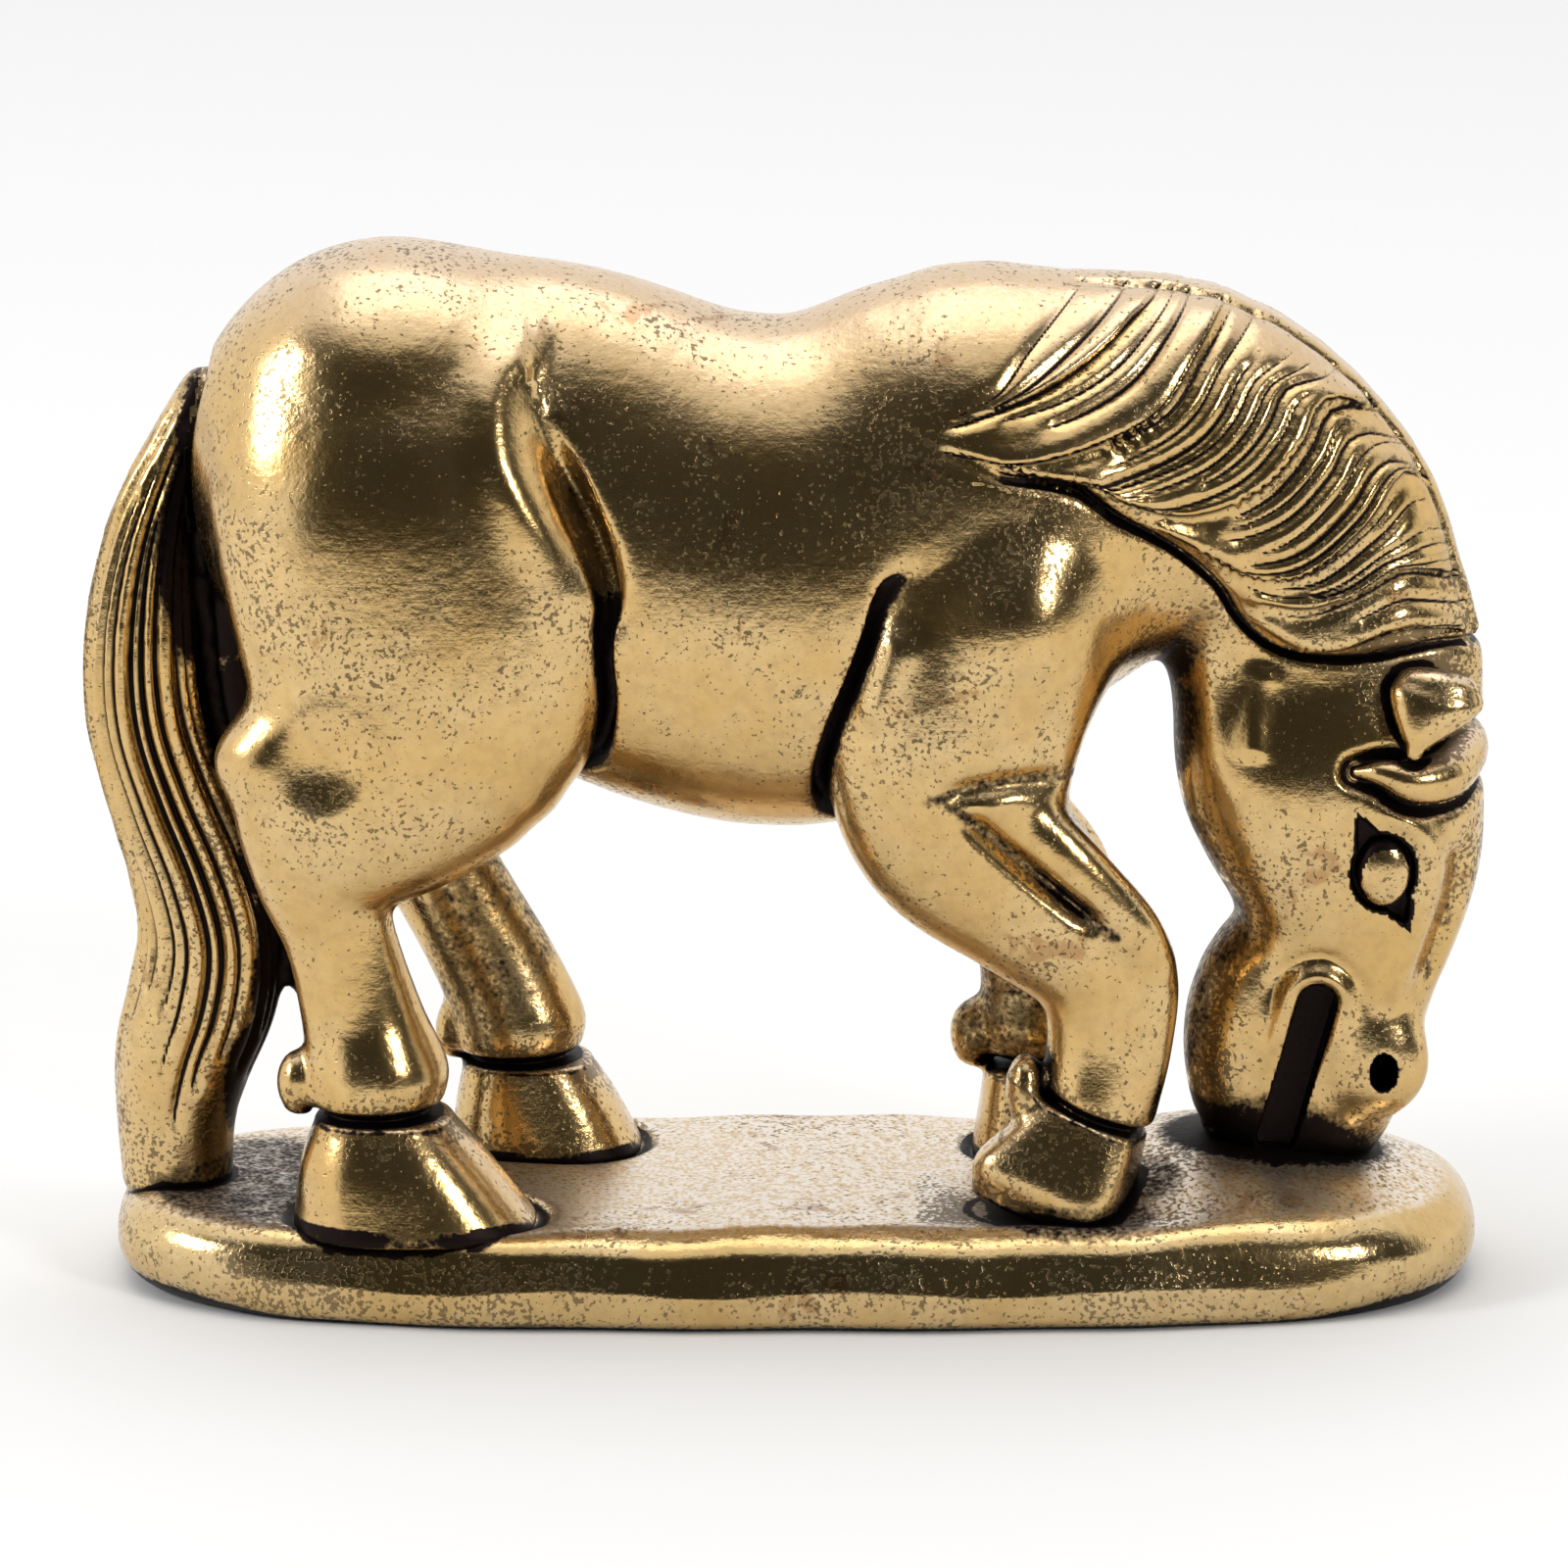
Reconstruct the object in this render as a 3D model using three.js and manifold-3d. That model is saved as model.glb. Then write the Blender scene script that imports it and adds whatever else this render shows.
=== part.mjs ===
// A small cast brass figurine of a grazing horse on a pebble-shaped plinth.
// Millimetres, +Z up. +X is towards the head, +Y towards the horse's left side.
// The origin is the middle of the plinth's flat underside.
import * as THREE from 'three';
import { LoftGeometry } from 'three/addons/geometries/LoftGeometry.js';
import { mergeVertices } from 'three/addons/utils/BufferGeometryUtils.js';
import Module from 'manifold-3d';

const wasm = await Module();
wasm.setup();

// Driving dimensions. Every other size below is drawn for a figurine 44 mm long.
const overallLength = 44;
const drawnLength = 44;
const seam = 0.3; // clearance left between two neighbouring castings
const plinthTop = 2.9;
const plinthEdge = 1.3; // rounding of the plinth's rim
const hoofFloor = plinthTop + seam;

const LEFT = 1;
const RIGHT = -1;

// ---- joining and cutting -------------------------------------------------

function solidOf(geometry) {
  const bare = geometry.index ? geometry.toNonIndexed() : geometry.clone();
  bare.deleteAttribute('normal');
  bare.deleteAttribute('uv');
  const merged = mergeVertices(bare, 1e-4);
  return new wasm.Manifold(new wasm.Mesh({
    numProp: 3,
    vertProperties: merged.attributes.position.array,
    triVerts: new Uint32Array(merged.index.array),
  }));
}

// The biggest body that a cut leaves, without the slivers beside it.
function mainBody(solid) {
  return solid.decompose().sort((a, b) => b.volume() - a.volume())[0];
}

function geometryOf(solid) {
  const mesh = mainBody(solid).getMesh();
  const geometry = new THREE.BufferGeometry();
  geometry.setAttribute('position', new THREE.BufferAttribute(mesh.vertProperties, 3));
  geometry.setIndex(new THREE.BufferAttribute(mesh.triVerts, 1));
  geometry.computeVertexNormals();
  return geometry;
}

// ---- shapes --------------------------------------------------------------

// A rounded limb through stations [x, y, z, half depth, half width]: half depth is measured
// in the horse's side view, half width across it. Sections stand square to the limb, or to
// the direction facing where that is given.
function limb(stations, { grow = 0, sides = 16, perSpan = 3, startRound = 1, endRound = 1, facing } = {}) {
  const centres = new THREE.CatmullRomCurve3(stations.map(([x, y, z]) => new THREE.Vector3(x, y, z)));
  const halves = new THREE.CatmullRomCurve3(stations.map((s) => new THREE.Vector3(s[3], s[4], 0)));
  const spans = (stations.length - 1) * perSpan;
  const across = new THREE.Vector3(0, 1, 0);
  const sections = [];
  const addRing = (t, along, shrink) => {
    const tangent = facing ?? centres.getTangent(t);
    const deep = across.clone().cross(tangent).normalize();
    const wide = tangent.clone().cross(deep);
    const half = halves.getPoint(t);
    const centre = centres.getPoint(t).addScaledVector(tangent, along * (half.x + grow));
    const ring = [];
    for (let i = 0; i < sides; i++) {
      const angle = (i / sides) * 2 * Math.PI;
      ring.push(centre.clone()
        .addScaledVector(deep, (half.x + grow) * shrink * Math.cos(angle))
        .addScaledVector(wide, (half.y + grow) * shrink * Math.sin(angle)));
    }
    sections.push(ring);
  };
  const capAngles = [80, 55, 28].map(THREE.MathUtils.degToRad);
  capAngles.forEach((a) => addRing(0, -startRound * Math.sin(a), Math.cos(a)));
  for (let i = 0; i <= spans; i++) addRing(i / spans, 0, 1);
  capAngles.reverse().forEach((a) => addRing(1, endRound * Math.sin(a), Math.cos(a)));
  return solidOf(new LoftGeometry(sections, { capStart: true, capEnd: true }));
}

// A hoof between a round coronet and a wider sole: [x, y, half length, half width] at each.
function hoof(coronet, coronetZ, sole, turn = 0, sides = 18) {
  const lift = 0.5; // the short upright wall above the sole
  const ring = ([x, y, halfLength, halfWidth], z) => Array.from({ length: sides }, (_, i) => {
    const angle = (i / sides) * 2 * Math.PI;
    const point = new THREE.Vector3(halfLength * Math.cos(angle), halfWidth * Math.sin(angle), 0);
    point.applyAxisAngle(new THREE.Vector3(0, 0, 1), turn);
    return point.add(new THREE.Vector3(x, y, z));
  });
  return solidOf(new LoftGeometry(
    [ring(sole, hoofFloor), ring(sole, hoofFloor + lift), ring(coronet, coronetZ)],
    { capStart: true, capEnd: true },
  ));
}

function ball(x, y, z, halfX, halfY, halfZ, turn = 0) {
  const geometry = new THREE.SphereGeometry(1, 16, 10).scale(halfX, halfY, halfZ).rotateY(turn);
  return solidOf(geometry.translate(x, y, z));
}

// A side-view outline [x, z] pushed right through the horse.
function sideCut(outline, fromY, toY) {
  const shape = new THREE.Shape(outline.map(([x, z]) => new THREE.Vector2(x, z)));
  const slab = new THREE.ExtrudeGeometry(shape, { depth: toY - fromY, bevelEnabled: false });
  return solidOf(slab.rotateX(Math.PI / 2).translate(0, toY, 0));
}

// ---- plinth --------------------------------------------------------------

function plinthSolid(grow = 0) {
  const halfX = 21.15;
  const halfY = 7.6;
  const squareness = 0.62; // 1 is an ellipse, smaller is fuller at the corners
  const power = (v) => Math.sign(v) * Math.abs(v) ** squareness;
  const outline = Array.from({ length: 40 }, (_, i) => {
    const angle = (i / 40) * 2 * Math.PI;
    const x = (halfX - plinthEdge) * power(Math.cos(angle));
    return new THREE.Vector2(x + 0.35, (halfY - plinthEdge) * power(Math.sin(angle)));
  });
  const slab = new THREE.ExtrudeGeometry(new THREE.Shape(outline), {
    depth: plinthTop + grow - 2 * plinthEdge,
    bevelThickness: plinthEdge,
    bevelSize: plinthEdge,
    bevelSegments: 4,
  });
  const mound = ball(14.6, 0.2, 1.6, 6.6 + grow, 6.1 + grow, 2.8 + grow);
  const below = sideCut([[-30, -10], [30, -10], [30, 0], [-30, 0]], -20, 20);
  return solidOf(slab.translate(0, 0, plinthEdge)).add(mound).subtract(below);
}

// ---- trunk, neck and head ------------------------------------------------

const trunkStations = [
  [-11.4, 0, 26.1, 7.15, 4.9],
  [-7.2, 0, 24.8, 7.6, 5.2],
  [-3.0, 0, 23.1, 7.95, 5.8],
  [0.9, 0, 22.8, 8.3, 5.8],
  [4.4, 0, 24.7, 7.5, 4.9],
];
const neckStations = [
  [7.5, 0, 25.8, 6.6, 4.5],
  [12.0, 0, 26.2, 5.8, 4.1],
  [15.6, 0, 24.0, 4.9, 3.7],
  [17.2, 0, 20.6, 4.45, 3.3],
];
const headStations = [
  [17.5, 0, 18.4, 4.4, 3.2],
  [17.8, 0, 16.4, 4.3, 3.2],
  [18.1, 0, 14.0, 3.8, 3.1],
  [18.2, 0, 12.0, 3.45, 2.9],
  [17.7, 0, 10.0, 3.4, 2.7],
  [16.9, 0, 8.2, 3.5, 2.6],
  [16.6, 0, 7.0, 3.1, 2.4],
];
// The mane's edge in the side view, from the withers along the locks' tips to the poll.
const maneEdge = [
  [9.3, 34], [8.0, 31.2], [6.5, 28.1], [4.5, 26.6], [6.2, 25.8], [9.6, 25.2],
  [12.0, 23.6], [14.3, 21.6], [16.2, 19.9], [18.6, 19.5], [24, 19.8], [24, 34],
];
const maneParting = 0.0;

function trunkSolid(grow = 0) {
  return limb(trunkStations, { grow, sides: 20, startRound: 0.98, facing: new THREE.Vector3(1, 0, 0) });
}

function headSolid(grow = 0) {
  return limb(headStations, { grow, sides: 18, perSpan: 2, startRound: 0.35 });
}

function neckMass(grow = 0) {
  return limb(neckStations, { grow, sides: 20, perSpan: 4, endRound: 0.12 });
}

function maneSolid(side, grow = 0) {
  const [fromY, toY] = side === RIGHT ? [-9, maneParting - seam / 2] : [maneParting + seam / 2, 9];
  return neckMass(0.35 + grow).intersect(sideCut(maneEdge, fromY, toY));
}

// ---- legs ----------------------------------------------------------------

const hindLegStations = (side) => (side === RIGHT ? [
  [-12.0, -3.2, 26.4, 5.0, 2.9],
  [-11.5, -3.9, 23.0, 6.0, 3.1],
  [-11.2, -4.2, 19.6, 5.5, 2.9],
  [-13.2, -4.4, 16.6, 4.1, 2.5],
  [-14.1, -4.4, 14.0, 2.2, 1.9],
  [-13.65, -4.3, 11.9, 1.8, 1.7],
  [-12.9, -4.2, 8.8, 1.95, 1.8],
  [-12.4, -4.2, 6.9, 2.2, 2.1],
] : [
  [-11.8, 3.2, 26.4, 5.0, 2.9],
  [-11.2, 3.9, 23.0, 6.0, 3.1],
  [-10.6, 4.2, 19.6, 5.3, 2.9],
  [-12.0, 4.3, 16.8, 3.9, 2.5],
  [-12.2, 4.2, 14.2, 2.3, 1.9],
  [-11.0, 4.1, 12.0, 1.85, 1.7],
  [-9.3, 4.0, 9.2, 1.95, 1.8],
  [-8.4, 4.0, 7.1, 2.15, 2.1],
]);
const foreLegStations = (side) => (side === RIGHT ? [
  [6.0, -3.2, 24.4, 4.2, 2.5],
  [5.6, -3.7, 20.5, 4.2, 2.6],
  [4.9, -3.8, 17.4, 3.8, 2.4],
  [5.3, -3.8, 15.2, 3.3, 2.3],
  [7.5, -3.7, 13.0, 2.6, 2.0],
  [9.6, -3.6, 11.0, 2.3, 1.85],
  [10.0, -3.6, 8.6, 2.0, 1.75],
  [9.8, -3.6, 6.8, 1.85, 1.8],
] : [
  [5.6, 3.2, 24.4, 4.2, 2.5],
  [5.0, 3.7, 20.5, 4.2, 2.6],
  [4.3, 3.7, 17.4, 3.7, 2.4],
  [4.3, 3.6, 15.2, 3.1, 2.2],
  [6.1, 3.4, 12.8, 2.4, 1.9],
  [7.9, 3.2, 10.6, 2.15, 1.8],
  [8.1, 3.2, 8.4, 1.9, 1.7],
  [8.0, 3.2, 6.7, 1.85, 1.75],
]);

function legSolid(stations, grow = 0) {
  return limb(stations, { grow, sides: 16, perSpan: 2, endRound: 0.12 });
}

const hooves = {
  right_hind_hoof: hoof([-12.2, -4.2, 2.3, 2.2], 6.2, [-11.6, -4.3, 3.8, 2.9]),
  left_hind_hoof: hoof([-8.2, 4.0, 2.2, 2.2], 6.3, [-7.8, 4.1, 3.3, 2.7]),
  right_fore_hoof: hoof([9.7, -3.6, 1.9, 1.9], 6.15, [8.9, -3.9, 3.0, 2.5], -0.5),
  left_fore_hoof: hoof([7.9, 3.2, 1.9, 1.9], 6.05, [7.7, 3.3, 2.7, 2.3], 0.3),
};

// ---- tail, ears, eyes and small tufts --------------------------------------

const tailStations = [
  [-18.9, 0, 26.6, 0.75, 1.0],
  [-19.6, 0, 23.6, 1.35, 1.8],
  [-19.9, 0, 20.7, 1.95, 2.3],
  [-19.8, 0, 18.0, 2.1, 2.4],
  [-19.2, 0, 15.6, 2.15, 2.4],
  [-18.3, 0, 13.1, 2.25, 2.4],
  [-17.9, 0, 10.9, 2.3, 2.4],
  [-18.1, 0, 8.9, 2.35, 2.4],
  [-18.6, 0, 7.0, 2.2, 2.3],
  [-18.9, 0, 5.1, 1.85, 2.1],
  [-18.9, 0, hoofFloor, 1.6, 1.9],
];
const earStations = (side) => [
  [20.0, side * 2.75, 19.6, 1.5, 0.75],
  [20.1, side * 3.15, 18.6, 1.25, 0.6],
  [20.2, side * 3.35, 17.5, 0.35, 0.3],
];
const eyeBall = (side, grow = 0) =>
  ball(19.0, side * 2.85, 13.5, 0.85 + grow, 0.45 + grow, 1.2 + grow, 0.45);
const forelockStations = [
  [20.7, -2.5, 16.9],
  [21.3, 0, 17.0],
  [20.7, 2.5, 16.9],
];
const ergots = {
  right_hind_ergot: ball(-15.3, -4.3, 7.1, 0.55, 0.7, 0.9),
  left_hind_ergot: ball(-11.1, 4.0, 7.2, 0.55, 0.7, 0.9),
  right_fore_ergot: ball(7.4, -3.7, 7.1, 0.5, 0.7, 1.0),
  left_fore_ergot: ball(5.7, 3.2, 6.9, 0.5, 0.7, 0.9),
};

function forelockSolid(grow = 0) {
  const arch = new THREE.CatmullRomCurve3(forelockStations.map(([x, y, z]) => new THREE.Vector3(x, y, z)));
  const half = 0.75 + grow;
  const sections = Array.from({ length: 11 }, (_, i) => {
    const centre = arch.getPoint(i / 10);
    const tangent = arch.getTangent(i / 10);
    const up = new THREE.Vector3(0, 0, 1);
    const out = tangent.clone().cross(up).normalize();
    return Array.from({ length: 8 }, (_unused, k) => {
      const angle = (k / 8) * 2 * Math.PI;
      return centre.clone()
        .addScaledVector(out, half * Math.cos(angle))
        .addScaledVector(up, -half * Math.sin(angle));
    });
  });
  return solidOf(new LoftGeometry(sections, { capStart: true, capEnd: true }));
}

// ---- assembly ------------------------------------------------------------

const solids = {};
solids.plinth = plinthSolid();
solids.trunk = trunkSolid();

const grownTrunk = trunkSolid(seam);
const grownPlinth = plinthSolid(seam);
for (const [name, stations] of [['hind_leg', hindLegStations], ['fore_leg', foreLegStations]]) {
  solids[`right_${name}`] = legSolid(stations(RIGHT)).subtract(grownTrunk);
  solids[`left_${name}`] = legSolid(stations(LEFT)).subtract(grownTrunk);
}

const grownForeLegs = legSolid(foreLegStations(RIGHT), seam).add(legSolid(foreLegStations(LEFT), seam));
const grownHindLegs = legSolid(hindLegStations(RIGHT), seam).add(legSolid(hindLegStations(LEFT), seam));
const body = grownTrunk.add(grownForeLegs);
const grownManes = maneSolid(RIGHT, seam).add(maneSolid(LEFT, seam)).add(
  neckMass(seam).intersect(sideCut(maneEdge, -seam, seam)),
);
const maneBlock = neckMass(0.35 + seam).intersect(sideCut(maneEdge, -9, 9));
solids.neck = neckMass().subtract(maneBlock.translate([-seam, 0, -seam])).subtract(grownManes).subtract(body);
solids.right_mane = maneSolid(RIGHT).subtract(body);
solids.left_mane = maneSolid(LEFT).subtract(body);

const eyes = { right_eye: eyeBall(RIGHT), left_eye: eyeBall(LEFT) };
const grownEyes = eyeBall(RIGHT, seam).add(eyeBall(LEFT, seam));
const neckBody = neckMass(seam).add(maneBlock);
solids.head = headSolid().subtract(neckBody).subtract(grownEyes).subtract(grownPlinth)
  .subtract(forelockSolid(seam));
const grownHead = headSolid(seam);
solids.right_eye = eyes.right_eye;
solids.left_eye = eyes.left_eye;
solids.forelock = forelockSolid();
for (const [name, side] of [['right_ear', RIGHT], ['left_ear', LEFT]]) {
  solids[name] = limb(earStations(side), { sides: 10, perSpan: 2 })
    .subtract(grownHead).subtract(neckBody).subtract(forelockSolid(seam));
}

solids.tail = limb(tailStations, { sides: 16, perSpan: 2, endRound: 0 })
  .subtract(grownTrunk).subtract(grownHindLegs).subtract(grownPlinth);

for (const [name, solid] of Object.entries(hooves)) {
  const leg = name.replace('_hoof', '_leg');
  solids[name] = solid.subtract(grownPlinth);
  solids[leg] = solids[leg].subtract(
    sideCut([[-30, 0], [30, 0], [30, 6.15 + seam], [-30, 6.15 + seam]], -20, 20));
}
for (const [name, solid] of Object.entries(ergots)) {
  const leg = name.replace('_ergot', '_leg');
  const legStations = leg.includes('hind') ? hindLegStations : foreLegStations;
  const side = leg.startsWith('right') ? RIGHT : LEFT;
  solids[name] = solid.subtract(legSolid(legStations(side), seam))
    .subtract(sideCut([[-30, 0], [30, 0], [30, 6.2 + seam], [-30, 6.2 + seam]], -20, 20));
}

const agedBrass = { color: 0xc7a65f, roughness: 0.28, metalness: 1 };
const darkBrass = { color: 0x5b4526, roughness: 0.5, metalness: 1 };
const figurine = new THREE.Group();
for (const [name, solid] of Object.entries(solids)) {
  const finish = name.includes('eye') ? darkBrass : agedBrass;
  const mesh = new THREE.Mesh(geometryOf(solid), new THREE.MeshStandardMaterial(finish));
  mesh.name = name;
  figurine.add(mesh);
}

// Centre the figurine over the origin, standing on it, at its real size.
const bounds = new THREE.Box3().setFromObject(figurine);
const middle = bounds.getCenter(new THREE.Vector3());
figurine.children.forEach((mesh) => mesh.position.set(-middle.x, -middle.y, -bounds.min.z));
figurine.scale.setScalar(overallLength / drawnLength);

export default figurine;
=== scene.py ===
# Cast brass figurine of a grazing horse. Its surface is sculpted as one distance field that fits the
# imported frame, divided into its named castings, engraved, and finished as polished, patinated brass.
import bpy
import math
import random
import time
import numpy as np
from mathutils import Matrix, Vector


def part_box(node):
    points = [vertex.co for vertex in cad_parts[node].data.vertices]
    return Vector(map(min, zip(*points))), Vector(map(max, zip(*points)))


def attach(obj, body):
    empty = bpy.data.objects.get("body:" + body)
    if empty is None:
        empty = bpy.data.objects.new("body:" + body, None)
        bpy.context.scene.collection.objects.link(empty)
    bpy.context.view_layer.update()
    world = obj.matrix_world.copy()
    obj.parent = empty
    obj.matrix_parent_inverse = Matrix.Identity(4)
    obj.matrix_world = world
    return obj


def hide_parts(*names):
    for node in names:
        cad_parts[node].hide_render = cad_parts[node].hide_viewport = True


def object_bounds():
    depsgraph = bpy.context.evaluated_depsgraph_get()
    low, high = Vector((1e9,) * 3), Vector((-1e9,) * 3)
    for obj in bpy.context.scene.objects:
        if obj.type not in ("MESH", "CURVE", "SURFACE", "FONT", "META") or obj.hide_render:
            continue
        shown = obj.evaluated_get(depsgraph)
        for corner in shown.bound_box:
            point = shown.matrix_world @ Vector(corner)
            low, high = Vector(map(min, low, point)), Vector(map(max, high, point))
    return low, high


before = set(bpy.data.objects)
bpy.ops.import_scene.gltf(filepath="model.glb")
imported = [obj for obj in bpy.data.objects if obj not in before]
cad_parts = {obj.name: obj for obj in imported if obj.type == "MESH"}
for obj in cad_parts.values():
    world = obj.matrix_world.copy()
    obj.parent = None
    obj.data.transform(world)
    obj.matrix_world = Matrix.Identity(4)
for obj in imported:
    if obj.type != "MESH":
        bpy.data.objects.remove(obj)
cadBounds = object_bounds()
startTime = time.time()

# The sculpture is drawn in millimetres, its underside at z = 0, and then placed over the frame's plinth.
drawnPlinthMiddle = Vector((0.35, 0.0, 0.0))
drawnWidth = 44.0
plinthLow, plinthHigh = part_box("plinth")
scale = (cadBounds[1].x - cadBounds[0].x) / drawnWidth
offset = Vector(((plinthLow.x + plinthHigh.x) / 2, (plinthLow.y + plinthHigh.y) / 2, plinthLow.z))
offset -= drawnPlinthMiddle * scale
right, left = -1, 1
sideNames = {right: "right", left: "left"}


def toWorld(point):
    return Vector(point) * scale + offset


def report(stage):
    print(f"{stage}: {time.time() - startTime:.1f} s")


def placed(name, data):
    made = bpy.data.objects.new(name, data)
    bpy.context.scene.collection.objects.link(made)
    return made


# The grid that the sculpture is cut from.
grid = {
    "x": [(-22.3, 0.085), (-16.3, 0.16), (6.5, 0.085), (22.6, 0)],  # finer at the tail and at the head
    "y": [(-8.4, 0.12), (8.45, 0)],
    "z": [(2.0, 0.12), (4.8, 0.085), (32.6, 0.12), (34.3, 0)],
    "coarser": 1.0,
    "far": 6.0,
}


def gridLine(stretches):
    runs = zip(stretches, stretches[1:])
    return np.concatenate([np.arange(a, b, step * grid["coarser"]) for (a, step), (b, _) in runs])


axes = [gridLine(grid[name]) for name in "xyz"]
gridShape = tuple(len(line) for line in axes)
field = np.full(gridShape, grid["far"], np.float32)
nearest = np.full(gridShape, grid["far"], np.float32)
label = np.zeros(gridShape, np.uint8)
castings = ["outside"]
report(f"grid {gridShape}")


def boxAround(low, high):
    return tuple(slice(int(np.searchsorted(line, a)), int(np.searchsorted(line, b)))
                 for line, a, b in zip(axes, low, high))


def coordinates(box):
    return np.meshgrid(*[line[part].astype(np.float32) for line, part in zip(axes, box)],
                       indexing="ij", sparse=True)


def smooth(value, low, high):
    t = np.clip((value - low) / (high - low), 0, 1)
    return t * t * (3 - 2 * t)


def blendMin(a, b, blend):
    h = np.maximum(blend - np.abs(a - b), 0) / blend
    return np.minimum(a, b) - h * h * blend * 0.25


def blendMax(a, b, blend):
    return -blendMin(-a, -b, blend)


# How far along the stretch from a to b the nearest point is, from 0 to 1, and the gap to it.
def toStretch(x, z, a, b):
    (ax, az), (bx, bz) = a, b
    ex, ez = bx - ax, bz - az
    t = np.clip(((x - ax) * ex + (z - az) * ez) / (ex * ex + ez * ez), 0, 1)
    return t, np.hypot(x - ax - ex * t, z - az - ez * t)


def ellipsoid(x, y, z, centre, halves):
    (cx, cy, cz), (a, b, c) = centre, halves
    u, v, w = (x - cx) / a, (y - cy) / b, (z - cz) / c
    k0 = np.sqrt(u * u + v * v + w * w) + 1e-4
    return k0 * (k0 - 1) / np.sqrt((u / a) ** 2 + (v / b) ** 2 + (w / c) ** 2 + 1e-6)


def catmullRom(points, perSpan):
    p = np.asarray(points, float)
    padded = np.vstack([2 * p[0] - p[1], p, 2 * p[-1] - p[-2]])
    t = np.linspace(0, 1, perSpan, endpoint=False)[:, None]
    spans = []
    for a, b, c, d in zip(padded, padded[1:], padded[2:], padded[3:]):
        spans.append(0.5 * (2 * b + (c - a) * t + (2 * a - 5 * b + 4 * c - d) * t ** 2
                            + (3 * b - a - 3 * c + d) * t ** 3))
    return np.vstack(spans + [p[-1:]])


def cubicWeights(fine, coarse):
    step = coarse[1] - coarse[0]
    place = (fine - coarse[0]) / step
    first = np.clip(np.floor(place).astype(int), 1, len(coarse) - 3)
    t = place - first
    weights = np.zeros((len(fine), len(coarse)), np.float32)
    rows = np.arange(len(fine))
    for shift, weight in zip((-1, 0, 1, 2), (
            -0.5 * t + t ** 2 - 0.5 * t ** 3,
            1 - 2.5 * t ** 2 + 1.5 * t ** 3,
            0.5 * t + 2 * t ** 2 - 1.5 * t ** 3,
            -0.5 * t ** 2 + 0.5 * t ** 3)):
        weights[rows, first + shift] = weight
    return weights


def softened(values, rounds):
    for _ in range(rounds):
        for axis in range(3):
            ends = np.take(values, [0], axis), np.take(values, [-1], axis)
            wide = np.concatenate([ends[0], values, ends[1]], axis)
            a, b, c = (np.take(wide, range(k, k + values.shape[axis]), axis) for k in range(3))
            values = 0.25 * a + 0.5 * b + 0.25 * c
    return values


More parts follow.
